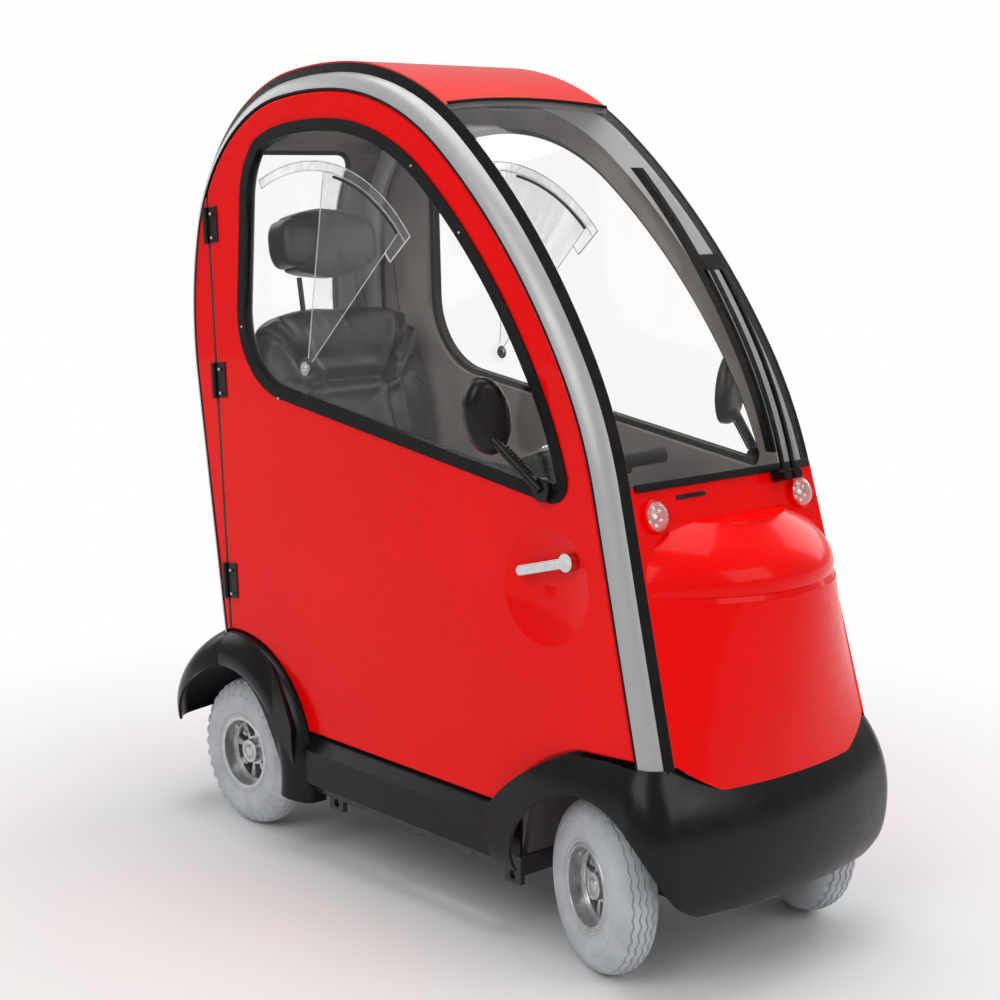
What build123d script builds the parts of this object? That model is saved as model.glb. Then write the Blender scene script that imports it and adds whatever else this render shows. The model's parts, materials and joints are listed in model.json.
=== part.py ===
from build123d import *
import os
from math import atan2, cos, degrees, hypot, radians, sin, sqrt, tan

# Enclosed four-wheel mobility scooter. +X forward, +Y left, +Z up, millimetres.
# The origin is on the floor under the middle of the body.

# Wheels
WHEELBASE = 1118.5
TYRE_RADIUS = 165
TYRE_WIDTH = 90
TREAD_SHOULDER = 30
BEAD_RADIUS = 80
RIM_WIDTH = 76
RIM_WALL = 6
WHEEL_Y = 265
HUB_RADIUS = 26
HUB_OUT = 22
HUB_IN = 18
TREAD_DROP = 9
BELLY_DROP = 8
SPOKE_ANGLE = 14
SPOKE_COUNT = 8
SPOKE_DEPTH = 14
REAR_AXLE_X = -538.5
FRONT_AXLE_X = REAR_AXLE_X + WHEELBASE
CUT_REACH = 2 * WHEELBASE
SHAFT_RADIUS = 10
RUNNING_CLEARANCE = 0.05

# Steering, with the front wheels parked turned to the right
STEER_REST = -19.4
KINGPIN_Y = 200
KINGPIN_RADIUS = 8
KINGPIN_EYE_RADIUS = 14
YOKE_GAP = 52
YOKE_EAR = 9
YOKE_DEPTH = 34
STEERING_ARM = 88
ARM_THICKNESS = 8
ARM_EYE_RADIUS = 10
TIE_ROD_RADIUS = 7
JOINT_GAP = 0.3

# Side plane: the doors and hoops lie in planes that lean in
SIDE_HALF_WIDTH = 328
SIDE_LEAN = 2.4
DOOR_THICKNESS = 28
DOOR_GAP = 6
DOOR_EDGE_ROUND = 5
FRONT_FOOT = (FRONT_AXLE_X + 104.4, 415)
FRONT_LEAN = 16.5

# The line of the door opening, from the front foot over the roof to the rear foot.
# Columns: panel that spans this stretch, radius (0 for a straight), turn in degrees or length
STRETCHES = (
    ("nose", 0, 505.6),
    ("screen", 850, 15.5),
    ("screen", 1490, 21),
    ("screen", 585, 9),
    ("roof", 585, 27.5),
    ("roof", 955, 10.5),
    ("roof", 350, 25),
    ("rear", 350, 45.5),
    ("rear", 830, 22.5),
    ("rear", 0, 582),
)

# Hoop section: distances out from the opening line and in from the side plane
BEVEL_OUT = 36
BEVEL_IN = 30
BEVEL_BULGE = 4
TRIM_OUT = 56
TRIM_IN = 38
HOOP_DEPTH = 46
STOP_LIP = 14

# Cabin panels
SCREEN_THICKNESS = 5
SCREEN_FOOT_DROP = 15
ROOF_THICKNESS = 14
REAR_THICKNESS = 18
SCREEN_TOP_BOW = 975
SCREEN_TOP_SET_BACK = 2
REAR_WINDOW_HALF_WIDTH = 165
REAR_WINDOW_LOW = 960
REAR_WINDOW_HIGH = 1500
REAR_WINDOW_CORNER = 60
REAR_GLASS_THICKNESS = 5

# Nose, in level slices. Columns: height, reach ahead of the front axle at the middle, half width
NOSE_SLICES = (
    (330, 206, 270),
    (450, 207, 270),
    (600, 205, 264),
    (716, 199, 258),
)
HUMP_SLICES = (
    (728, 192, 256),
    (770, 188, 251),
    (810, 150, 220),
    (845, 112, 146),
)
NOSE_BAND = 5
NOSE_SEAT = 2
TONGUE_LOW = 346
TONGUE_HIGH = 436
TONGUE_HALF_WIDTH = 266
NOSE_WALL = 9
DECK_THICKNESS = 14
LAMP_RADIUS = 30
LAMP_DEPTH = 23
LAMP_PROUD = 9
LAMP_Y = 204
LAMP_DROP = 54

# Lower mouldings, in level slices.
# Columns: height, reach beyond the axle at the middle, half width, corner radius
MOULDING_TOP = 428
FRONT_SLICES = (
    (160, 218, 330, 74),
    (205, 234, 350, 80),
    (262, 238, 356, 80),
    (340, 226, 351, 78),
    (400, 196, 336, 72),
    (MOULDING_TOP, 178, 318, 60),
)
REAR_SLICES = (
    (158, 262, 332, 70),
    (250, 279.5, 354, 75),
    (335, 244, 350, 75),
    (MOULDING_TOP, 134, 314, 60),
)
REAR_TAIL_BOTTOM = 205
SKIRT_BOW = 1100
SKIRT_WALL = 7
SEAM_REACH = 250
FRONT_ARCH_RADIUS = 192
REAR_ARCH_RADIUS = 203
FRONT_SEAM_X = FRONT_AXLE_X - SEAM_REACH
REAR_SEAM_X = REAR_AXLE_X + SEAM_REACH
SILL_TOP = 272
SILL_BOTTOM = 152
SILL_OUT = 332
SILL_SHOULDER = 30
SILL_IN = 255
SILL_WALL = 7
SILL_CHAMFER = (14, 18)

# Door bottom edge over the front fender: start, middle and end of the arc, and the hoop's foot
DOOR_BOTTOM = 278
FENDER_ARC = (
    (FRONT_AXLE_X - 252, DOOR_BOTTOM),
    (FRONT_AXLE_X - 165, 366),
    (FRONT_AXLE_X - 49, 427),
    (FRONT_AXLE_X + 110, 440),
)
DOOR_FENDER_RADIUS = 284

# Hinges. Columns of HINGE_HEIGHTS: height of each hinge's middle
HINGE_HEIGHTS = (555, 997, 1336)
HINGE_LOW_X = -587
HINGE_SLOPE = 0.1344
HINGE_HEIGHT = 78
HINGE_LEAF = 32
HINGE_FIXED_LEAF = 11
HINGE_PLATE = 3
KNUCKLE_RADIUS = 5
KNUCKLE_SPLIT = 26
HINGE_OUT = 5

# Door window
WINDOW_INSET = 58
WINDOW_REAR_X = -569
WINDOW_SILL = ((408, 875), (-356, 973))
WINDOW_FRONT_CORNER = 40
WINDOW_LOW_CORNER = 190
WINDOW_TOP_CORNER = 170
WINDOW_TOP = 1576
RUBBER_WIDTH = 26
RUBBER_LAP = 13
RUBBER_PROUD = 4
RUBBER_DEPTH = 16
PANE_THICKNESS = 4
PANE_DEPTH = 8
VENT_PIVOT = (-328, 1051)
VENT_RADIUS = 432
VENT_START = 42
VENT_SWEEP = 74
VENT_RAIL = 20
VENT_GRIP = 60
VENT_GRIP_SWEEP = 4
VENT_BLADE_START = 46
VENT_BLADE_SWEEP = 39
VENT_THICKNESS = 5
VENT_KNOB_RADIUS = 24

# Handle and mirror
POCKET_CENTRE = (428, 716)
POCKET_RADIUS = 112
POCKET_DEPTH = 13
HANDLE_PIVOT = (492, 772)
HANDLE_TIP = (372, 738)
HANDLE_BOSS = 17
HANDLE_OUT = 16
HANDLE_SPINDLE = 12
LEVER_WIDTH = 20
LEVER_THICKNESS = 8
LEVER_ROUND = 2.5
MIRROR_FOOT = (420, 896)
MIRROR_HEAD = (300, 1022)
MIRROR_OUT = 52
MIRROR_LENGTH = 74
MIRROR_HALF_WIDTH = 47
MIRROR_DEPTH = 30
MIRROR_FOOT_RADIUS = 22
MIRROR_FOOT_HEIGHT = 14
MIRROR_NECK = (22, -40)
MIRROR_TOE = 0.25
STALK_RADIUS = 9

# Floor, frame and drive
RAIL_Y = 95
RAIL_SIZE = 40
RAIL_BOTTOM = 108
RAIL_FRONT = FRONT_AXLE_X + 110
RAIL_REAR = REAR_AXLE_X - 101.5
CROSS_X = (REAR_SEAM_X + 28, 0, FRONT_SEAM_X - 28)
FLOOR_THICKNESS = 10
FLOOR_FRONT = FRONT_AXLE_X - 262
FLOOR_REAR = -330
TOE_TOP = (FRONT_AXLE_X - 125, 868)
FLOOR_HALF_WIDTH = 232
DASH_RISE = 10
SEAT_BOX_FRONT = -110
SEAT_BOX_REAR = -325
SEAT_BOX_HALF_WIDTH = 175
SEAT_BOX_TOP = 430
SEAT_BOX_WALL = 8
BATTERY = (190, 155, 205)
BATTERY_GAP = 6
MOTOR_RADIUS = 58
MOTOR_LENGTH = 190
GEAR_RADIUS = 74
AXLE_TUBE_RADIUS = 24
AXLE_TUBE_END = 232
GEAR_WIDTH = 110
BEAM_HEIGHT = 36
BEAM_DEPTH = 32

# Seat
SEAT_TOP = 590
CUSHION_THICKNESS = 105
CUSHION_HALF_WIDTH = 238
CUSHION_FRONT = -30
CUSHION_REAR = -422
BACK_RECLINE = 11
BACK_HEIGHT = 625
BACK_THICKNESS = 115
BACK_FRONT = (-425, 540)
HEADREST = (105, 262, 150)
HEADREST_RISE = 76
POST_RADIUS = 6
POST_Y = 80
ARMREST = (300, 50, 42)
ARMREST_Y = 220
ARMREST_TOP = 800
ARMREST_ROUND = 14
PEDESTAL_RADIUS = 45
SWIVEL_HALF = 130
SWIVEL_THICKNESS = 12
SEAT_ROUND = 26
BACK_BAR_Y = 120
BACK_BAR_WIDTH = 40
BACK_BAR_HEIGHT = 330

# Tiller
TILLER_FOOT_HEIGHT = 324
TILLER_RAKE = 17
TILLER_LENGTH = 570
TILLER_TAIL = 70
TILLER_RADIUS = 21
TILLER_HEAD = (150, 190, 90)
TILLER_HEAD_ROUND = 22
BAR_HALF_SPAN = 150
BAR_RADIUS = 11
GRIP_RADIUS = 16
GRIP_LENGTH = 100
GRIP_LAP = 30
COLLAR_RADIUS = 34
COLLAR_HEIGHT = 60

# Lamps at the back
TAIL_Y = 205
TAIL_HEIGHT = 620
TAIL_RADIUS = 36
TAIL_DEPTH = 22

# Wiper, on the left of the screen
WIPER_Y = 136
WIPER_BLADE_LOW = 945
WIPER_BLADE_HIGH = 1475
WIPER_BLADE_WIDTH = 12
WIPER_BLADE_DEPTH = 16
WIPER_LIFT = 0.3
WIPER_ROD = 7
WIPER_ROD_LIFT = 22
WIPER_ROD_NEAR = 4
WIPER_ROD_FAR = 34
WIPER_FOOT_HEIGHT = 897
WIPER_BRACKET_DROP = 165
WIPER_BRACKET = 14
WIPER_CAP_RADIUS = 11

# Tie-down lugs below the sills
LUG_THICKNESS = 12
LUG_TOP = 168
LUG_HEIGHT = 76
LUG_WIDTH = 46
LUG_BORE = 9
LUG_BORE_HEIGHT = 108

LEAN_SHIFT = tan(radians(SIDE_LEAN))
RIGHT_SIDE = Plane(
    origin=(0, -SIDE_HALF_WIDTH, 0),
    x_dir=(1, 0, 0),
    z_dir=(0, -cos(radians(SIDE_LEAN)), sin(radians(SIDE_LEAN))),
)


def both_sides(piece):
    """The right-hand piece and its mirror image on the left."""
    return piece, mirror(piece, about=Plane.XZ)


def right(piece):
    """A piece drawn in the side plane, set on the vehicle's right side."""
    return RIGHT_SIDE * piece


def half_width(height, depth):
    """Half width between the side planes at a height, a depth in from the door skin."""
    return SIDE_HALF_WIDTH - height * LEAN_SHIFT - depth / cos(radians(SIDE_LEAN))


def opening_line(out, panels=None):
    """Edges parallel to the door opening's line, for all panels or some."""
    heading = 90 + FRONT_LEAN
    start = Vector(*FRONT_FOOT) + Vector(cos(radians(FRONT_LEAN)), sin(radians(FRONT_LEAN))) * out
    edges = []
    for panel, radius, amount in STRETCHES:
        direction = Vector(cos(radians(heading)), sin(radians(heading)))
        if radius:
            edge = JernArc(start, direction, radius + out, amount)
            heading += amount
        else:
            edge = Line(start, start + direction * amount)
        start = edge @ 1
        if panels is None or panel in panels:
            edges.append(edge)
    return edges


def opening_face(out):
    """The area inside a line parallel to the opening, and below its feet down to the floor."""
    edges = opening_line(out)
    front, rear = edges[0] @ 0, edges[-1] @ 1
    return make_face(edges + [Polyline(rear, (rear.X, 0), (front.X, 0), front)])


def band(panels, outer, inner):
    """The area between two lines parallel to the opening, along some panels."""
    far = opening_line(outer, panels)
    near = opening_line(inner, panels)
    ends = [Line(far[0] @ 0, near[0] @ 0), Line(far[-1] @ 1, near[-1] @ 1)]
    return make_face(far + near + ends)


def between_sides(depth):
    """Everything between the two side planes, a depth in from the door skins."""
    top = 1800
    corners = [
        (-half_width(0, depth), 0),
        (half_width(0, depth), 0),
        (half_width(top, depth), top),
        (-half_width(top, depth), top),
    ]
    return extrude(Plane.YZ * make_face(Polyline(*corners, close=True)), 1000, both=True)


def across(face):
    """A side-view area swept across the whole cabin."""
    return extrude(Plane.XZ * face, SIDE_HALF_WIDTH, both=True)


def cabin_panel(panels, thickness):
    """A single-curved panel between the hoops."""
    return across(band(panels, TRIM_OUT, TRIM_OUT - thickness)) & between_sides(TRIM_IN)


def hinge_x(height):
    return HINGE_LOW_X - HINGE_SLOPE * (height - HINGE_HEIGHTS[0])


def ahead_of_hinge_line(clear):
    """The part of the side plane ahead of the hinge line."""
    low, high, far = 0, 1800, 1500
    corners = [(hinge_x(low) + clear, low), (far, low), (far, high), (hinge_x(high) + clear, high)]
    return make_face(Polyline(*corners, close=True))


def lower_edge_face(drop=0.0):
    """The area below the door's bottom edge: sill, front fender and rear fender."""
    arc_start, arc_middle, arc_end, foot = FENDER_ARC
    low, far = -100, 1000
    fender = make_face([
        ThreePointArc(arc_start, arc_middle, arc_end),
        Line(arc_end, foot),
        Polyline(foot, (far, foot[1]), (far, low), (arc_start[0], low), arc_start),
    ])
    sill = Pos(0, (DOOR_BOTTOM + low) / 2) * Rectangle(CUT_REACH, DOOR_BOTTOM - low)
    wheel = Pos(REAR_AXLE_X, TYRE_RADIUS) * Circle(DOOR_FENDER_RADIUS)
    return Pos(0, -drop) * (sill + wheel + fender)


def window_face(inset=0.0):
    """Outline of the door window's rubber, all corners rounded."""
    (front_x, front_z), (rear_x, rear_z) = WINDOW_SILL
    slope = (rear_z - front_z) / (rear_x - front_x)
    far = 1200
    area = make_face(Polyline(
        (WINDOW_REAR_X, front_z + slope * (WINDOW_REAR_X - front_x)),
        (far, front_z + slope * (far - front_x)),
        (far, WINDOW_TOP),
        (WINDOW_REAR_X, WINDOW_TOP),
        close=True,
    ))
    area = fillet(area.vertices().sort_by(Axis.X)[:2].sort_by(Axis.Y)[0], WINDOW_LOW_CORNER)
    area = fillet(area.vertices().sort_by(Axis.X)[:3].sort_by(Axis.Y)[-1], WINDOW_TOP_CORNER)
    area = opening_face(-WINDOW_INSET) & area
    round_front = offset(offset(area, -WINDOW_FRONT_CORNER), WINDOW_FRONT_CORNER)
    return offset(round_front, -inset) if inset else round_front


def slab(face, low, high):
    """A side-plane area given thickness between two distances out."""
    return extrude(Pos(0, 0, low) * face, high - low)


def door_panel():
    outline = (opening_face(-DOOR_GAP / 2) - lower_edge_face()) & ahead_of_hinge_line(DOOR_GAP / 2)
    door = slab(outline, -DOOR_THICKNESS, 0)
    rim = door.faces().sort_by(Axis.Z)[-1].edges()
    door = fillet(rim, DOOR_EDGE_ROUND)
    door -= slab(window_face(RUBBER_LAP), -2 * DOOR_THICKNESS, DOOR_THICKNESS)
    bowl = (POCKET_RADIUS ** 2 + POCKET_DEPTH ** 2) / (2 * POCKET_DEPTH)
    door -= Pos(*POCKET_CENTRE, bowl - POCKET_DEPTH) * Sphere(bowl)
    door -= Pos(*HANDLE_PIVOT, -DOOR_THICKNESS) * Cylinder(HANDLE_SPINDLE, 2 * DOOR_THICKNESS)
    return door


def window_rubber():
    lip = slab(window_face() - window_face(RUBBER_WIDTH), 0, RUBBER_PROUD)
    web = slab(window_face(RUBBER_LAP) - window_face(RUBBER_WIDTH), -RUBBER_DEPTH, 0)
    return lip + web


def window_pane():
    return slab(window_face(RUBBER_WIDTH), -PANE_DEPTH, PANE_THICKNESS - PANE_DEPTH)


def ring_sector(outer, inner, start, sweep, thickness):
    """Flat piece of a ring about the origin."""
    return extrude(
        make_face([
            CenterArc((0, 0), outer, start, sweep),
            CenterArc((0, 0), inner, start, sweep),
            Line(polar(outer, start), polar(inner, start)),
            Line(polar(outer, start + sweep), polar(inner, start + sweep)),
        ]),
        thickness,
    )


def vent_pane():
    """The swinging sector pane with its arc rail and pivot knob, inside the window."""
    x, z = VENT_PIVOT
    low = -PANE_DEPTH - VENT_THICKNESS
    inner = VENT_RADIUS - VENT_RAIL
    rail = ring_sector(VENT_RADIUS, inner, VENT_START, VENT_SWEEP, VENT_THICKNESS)
    grip_inner = inner - VENT_GRIP
    grip = ring_sector(inner, grip_inner, VENT_START, VENT_GRIP_SWEEP, VENT_THICKNESS)
    sector = ring_sector(inner, VENT_KNOB_RADIUS / 2, VENT_BLADE_START, VENT_BLADE_SWEEP, VENT_THICKNESS)
    knob = Pos(0, 0, -VENT_THICKNESS) * Cylinder(
        VENT_KNOB_RADIUS, 2 * VENT_THICKNESS, align=(Align.CENTER, Align.CENTER, Align.MIN))
    return Pos(x, z, low) * (rail + grip + sector + knob)


def polar(radius, angle):
    return (radius * cos(radians(angle)), radius * sin(radians(angle)))


def door_handle():
    """T-handle: a boss through the pocket and a tapered lever."""
    (px, pz), (tx, tz) = HANDLE_PIVOT, HANDLE_TIP
    length = hypot(tx - px, tz - pz)
    turn = degrees(atan2(tz - pz, tx - px))
    boss = Cylinder(HANDLE_BOSS, HANDLE_OUT, align=(Align.CENTER, Align.CENTER, Align.MIN))
    spindle = Pos(0, 0, -DOOR_THICKNESS) * Cylinder(
        HANDLE_SPINDLE - JOINT_GAP, DOOR_THICKNESS, align=(Align.CENTER, Align.CENTER, Align.MIN))
    lever = Pos(length / 2, 0, HANDLE_OUT - LEVER_THICKNESS) * extrude(
        SlotCenterToCenter(length, LEVER_WIDTH), LEVER_THICKNESS)
    rims = lever.edges().filter_by(GeomType.CIRCLE) + lever.edges().filter_by(Plane.XY)
    lever = fillet(rims, LEVER_ROUND)
    return Pos(px, pz, 0) * (Rot(0, 0, turn) * (boss + spindle + lever))


def hinge_leaves(on_door):
    """Three surface hinges on one line: the door's leaves or the body's."""
    side = 1 if on_door else -1
    width = HINGE_LEAF if on_door else HINGE_FIXED_LEAF
    pieces = []
    tilt = degrees(atan2(HINGE_SLOPE, 1))
    near = KNUCKLE_RADIUS + JOINT_GAP
    for height in HINGE_HEIGHTS:
        frame = Pos(hinge_x(height), height, 0) * Rot(0, 0, tilt)
        leaf = Pos(side * (near + width / 2), 0, HINGE_PLATE / 2) * Box(width, HINGE_HEIGHT, HINGE_PLATE)
        outer = (HINGE_HEIGHT - KNUCKLE_SPLIT) / 2 - JOINT_GAP
        shift = (HINGE_HEIGHT - outer) / 2
        spans = [(0, KNUCKLE_SPLIT)] if on_door else [(-shift, outer), (shift, outer)]
        for middle, span in spans:
            knuckle = Pos(0, middle, HINGE_OUT) * Rot(90, 0, 0) * Cylinder(KNUCKLE_RADIUS, span)
            web = Pos(side * (near + 1) / 2, middle, HINGE_PLATE / 2) * Box(near + 1, span, HINGE_PLATE)
            leaf = leaf + knuckle + web
        pieces.append(frame * leaf)
    return pieces


def mirror_arm():
    """Door mirror: foot, ribbed stalk and oval head that faces back."""
    (fx, fz), (hx, hz) = MIRROR_FOOT, MIRROR_HEAD
    foot = Pos(fx, fz, RUBBER_PROUD) * Cylinder(
        MIRROR_FOOT_RADIUS, MIRROR_FOOT_HEIGHT, align=(Align.CENTER, Align.CENTER, Align.MIN))
    start = Vector(fx, fz, RUBBER_PROUD + MIRROR_FOOT_HEIGHT - 1)
    end = Vector(hx + MIRROR_NECK[0], hz + MIRROR_NECK[1], MIRROR_OUT)
    run = end - start
    stalk = Plane(origin=start, z_dir=run) * Cylinder(
        STALK_RADIUS, run.length, align=(Align.CENTER, Align.CENTER, Align.MIN))
    head = extrude(Ellipse(MIRROR_HALF_WIDTH, MIRROR_LENGTH), MIRROR_DEPTH)
    head = fillet(head.faces().sort_by(Axis.Z)[-1].edges(), MIRROR_DEPTH * 0.7)
    face = Plane(origin=(hx, hz, MIRROR_OUT), z_dir=(1, 0, MIRROR_TOE), x_dir=(0, -MIRROR_TOE, 1))
    return foot + stalk + face * head


def quarter_strip():
    """The fixed strip of side panel behind the hinge line."""
    lens = opening_face(DOOR_GAP / 2) - lower_edge_face() - ahead_of_hinge_line(-DOOR_GAP / 2)
    return slab(lens, -DOOR_THICKNESS, 0)


def hoop():
    """Side hoop: bevelled face, door-stop lip, swept along the opening line."""
    inner = DOOR_GAP / 2
    middle = ((inner + BEVEL_OUT) / 2 + BEVEL_BULGE, -BEVEL_IN / 2 + BEVEL_BULGE)
    stop = DOOR_THICKNESS + DOOR_GAP
    section = make_face([
        ThreePointArc((inner, 0), middle, (BEVEL_OUT, -BEVEL_IN)),
        Polyline(
            (BEVEL_OUT, -BEVEL_IN),
            (BEVEL_OUT, -HOOP_DEPTH),
            (-STOP_LIP, -HOOP_DEPTH),
            (-STOP_LIP, -stop),
            (inner, -stop),
            (inner, 0),
        ),
    ])
    return swept(section)


def hoop_trim():
    """Black strip between the hoop and the cabin panels."""
    section = make_face(Polyline(
        (BEVEL_OUT, -BEVEL_IN), (TRIM_OUT, -TRIM_IN), (BEVEL_OUT, -TRIM_IN), close=True))
    return swept(section)


def swept(section):
    """A section, drawn as out from the line and out from the plane, carried along the line."""
    path = Wire(opening_line(0))
    lean = radians(FRONT_LEAN)
    along, ahead = (cos(lean), sin(lean), 0), (sin(lean), -cos(lean), 0)
    across_path = Plane(origin=(*FRONT_FOOT, 0), x_dir=along, z_dir=ahead)
    return sweep(across_path * section, path=path)


def on_mouldings(piece):
    """A cabin piece cut off level where it stands on the lower mouldings."""
    size = 4000
    return piece - Pos(0, 0, MOULDING_TOP - size / 2) * Box(size, size, size)


def screen_top_disc():
    """Round cutter whose edge is the bowed joint between screen and roof."""
    joint = opening_line(TRIM_OUT, ("screen",))[-1]
    top, run = joint @ 1, joint % 1
    centre = top - run * (SCREEN_TOP_BOW + SCREEN_TOP_SET_BACK)
    normal = Vector(run.Y, 0, -run.X)
    frame = Plane(origin=(centre.X, 0, centre.Y), z_dir=normal, x_dir=(0, 1, 0))
    return frame * Cylinder(SCREEN_TOP_BOW, 2 * SCREEN_TOP_BOW)


def windscreen():
    return cabin_panel(("screen", "roof"), SCREEN_THICKNESS) & screen_top_disc() & above_base()


def above_base():
    base = opening_line(TRIM_OUT, ("screen",))[0] @ 0
    size = 4000
    return Pos(0, 0, base.Y - SCREEN_FOOT_DROP + size / 2) * Box(size, size, size)


def roof_panel():
    return cabin_panel(("screen", "roof"), ROOF_THICKNESS) - screen_top_disc()


def rear_opening(inset=0.0):
    height = REAR_WINDOW_HIGH - REAR_WINDOW_LOW
    face = RectangleRounded(
        2 * (REAR_WINDOW_HALF_WIDTH - inset), height - 2 * inset, REAR_WINDOW_CORNER - inset)
    middle = (REAR_AXLE_X, 0, (REAR_WINDOW_LOW + REAR_WINDOW_HIGH) / 2)
    place = Plane(origin=middle, x_dir=(0, 1, 0), z_dir=(-1, 0, 0))
    return extrude(place * face, WHEELBASE / 2)


def rear_panel():
    return on_mouldings(cabin_panel(("rear",), REAR_THICKNESS)) - rear_opening()


def rear_window():
    return cabin_panel(("rear",), REAR_GLASS_THICKNESS) & rear_opening()


def deck_x(height):
    """Front face of the lamp deck at a height."""
    foot = opening_line(TRIM_OUT, ("nose",))[0]
    low, high = foot @ 0, foot @ 1
    return low.X + (high.X - low.X) * (height - low.Y) / (high.Y - low.Y)


def nose_slice(height, front, half, wall=0.0):
    """Level slice of the nose: a bowed front, and a chord in the deck or, for the hollow, behind it."""
    front = FRONT_AXLE_X + front
    edge = deck_x(height) - NOSE_SEAT
    chord = edge - (wall * 6 if wall else DECK_THICKNESS - NOSE_SEAT)
    half -= wall
    plan = make_face([
        ThreePointArc((edge, -half), (front - wall, 0), (edge, half)),
        Polyline((edge, half), (chord, half), (chord, -half), (edge, -half)),
    ])
    return Pos(0, 0, height) * plan


def nose_block(wall=0.0):
    """Bowed nose below the band, the set-back band, and the hump above it."""
    low, high = NOSE_SLICES[-1], HUMP_SLICES[0]
    lower = loft([nose_slice(*row, wall) for row in NOSE_SLICES])
    band_slices = [nose_slice(row[0], row[1] - NOSE_BAND, row[2], wall) for row in (low, high)]
    top = HUMP_SLICES[-1]
    hump_slices = [nose_slice(*row, wall) for row in HUMP_SLICES[:-1]]
    hump_slices.append(nose_slice(top[0] - wall, *top[1:], wall))
    return lower + loft(band_slices) + loft(hump_slices)


def above_tongue():
    """Everything above the curved lower edge of the nose, seen from the front."""
    half, top = SIDE_HALF_WIDTH, 2000
    low, high = TONGUE_LOW, TONGUE_HIGH
    left, right_end = (TONGUE_HALF_WIDTH, high), (-TONGUE_HALF_WIDTH, high)
    front_view = make_face([
        ThreePointArc(right_end, (0, low), left),
        Polyline(left, (half, high), (half, top), (-half, top), (-half, high), right_end),
    ])
    return extrude(Plane.YZ * front_view, 1000, both=True)


def nose_solid():
    """The nose and its deck, before it is hollowed."""
    block = cabin_panel(("nose",), DECK_THICKNESS) + (nose_block() & between_sides(TRIM_IN))
    return block & above_tongue()


def nose_panel():
    """Front panel: thin nose and hump on the lamp deck."""
    return nose_solid() - (nose_block(NOSE_WALL) & between_sides(TRIM_IN + NOSE_WALL))


def front_lamp(y, radius=LAMP_RADIUS):
    """Round front lamp standing in the deck."""
    out = (cos(radians(FRONT_LEAN)), 0, sin(radians(FRONT_LEAN)))
    height = (opening_line(TRIM_OUT, ("screen",))[0] @ 0).Y - LAMP_DROP
    place = Plane(origin=(deck_x(height), y, height), z_dir=out)
    return place * (Pos(0, 0, LAMP_PROUD - LAMP_DEPTH / 2) * Cylinder(radius, LAMP_DEPTH))


def tail_lamp(y, radius=TAIL_RADIUS):
    """Round tail lamp standing in the rear panel."""
    foot = opening_line(TRIM_OUT, ("rear",))[-1]
    high, low = foot @ 0, foot @ 1
    x = low.X + (high.X - low.X) * (TAIL_HEIGHT - low.Y) / (high.Y - low.Y)
    run = foot % 1
    place = Plane(origin=(x, y, TAIL_HEIGHT), z_dir=(run.Y, 0, -run.X))
    return place * (Pos(0, 0, LAMP_PROUD - TAIL_DEPTH / 2) * Cylinder(radius, TAIL_DEPTH))


def skirt_slice(height, end, half, corner, inset=0.0, back=0.0):
    """Level slice of a lower moulding: bowed end, round corners, straight sides."""
    end, half, corner = end - inset, half - inset, corner - inset
    centre = end - SKIRT_BOW
    corner_x = centre + sqrt((SKIRT_BOW - corner) ** 2 - (half - corner) ** 2)
    reach = hypot(corner_x - centre, half - corner)
    touch_x = centre + SKIRT_BOW * (corner_x - centre) / reach
    touch_y = SKIRT_BOW * (half - corner) / reach
    blend = atan2(touch_y - (half - corner), touch_x - corner_x)
    middle = (blend + radians(90)) / 2
    mx, my = corner_x + corner * cos(middle), half - corner + corner * sin(middle)
    plan = make_face([
        ThreePointArc((touch_x, -touch_y), (end, 0), (touch_x, touch_y)),
        ThreePointArc((touch_x, touch_y), (mx, my), (corner_x, half)),
        Line((corner_x, half), (back, half)),
        Line((back, half), (back, -half)),
        Line((back, -half), (corner_x, -half)),
        ThreePointArc((corner_x, -half), (mx, -my), (touch_x, -touch_y)),
    ])
    return Pos(0, 0, height) * plan


def skirt(slices, axle_x):
    """Thin moulding about an axle, open below and behind."""
    rows = [(height, axle_x + reach, half, corner) for height, reach, half, corner in slices]
    back = axle_x - SEAM_REACH
    outer = loft([skirt_slice(*row, back=back) for row in rows])
    low, high = rows[0], rows[-1]
    inner_rows = [(low[0] - 1, *low[1:]), *rows[1:-1], (high[0] - SKIRT_WALL, *high[1:])]
    behind = back - SKIRT_WALL
    return outer - loft([skirt_slice(*row, inset=SKIRT_WALL, back=behind) for row in inner_rows])


def arch_cut(x, radius):
    return Pos(x, 0, TYRE_RADIUS) * Rot(90, 0, 0) * Cylinder(radius, 4 * SIDE_HALF_WIDTH)


def front_moulding():
    """Bumper and front fenders in one piece, open where the nose stands."""
    shell = skirt(FRONT_SLICES, FRONT_AXLE_X)
    shell -= arch_cut(FRONT_AXLE_X, FRONT_ARCH_RADIUS)
    shell &= extrude(Plane.XZ * lower_edge_face(DOOR_GAP), 2 * SIDE_HALF_WIDTH, both=True)
    shell -= nose_solid()
    length = FRONT_FOOT[0] + BEVEL_OUT - FRONT_SEAM_X
    inside = Pos(FRONT_SEAM_X + length / 2, 0, MOULDING_TOP) * Box(
        length, 2 * SIDE_HALF_WIDTH, 4 * SKIRT_WALL)
    return shell - (inside & between_sides(HOOP_DEPTH))


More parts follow.
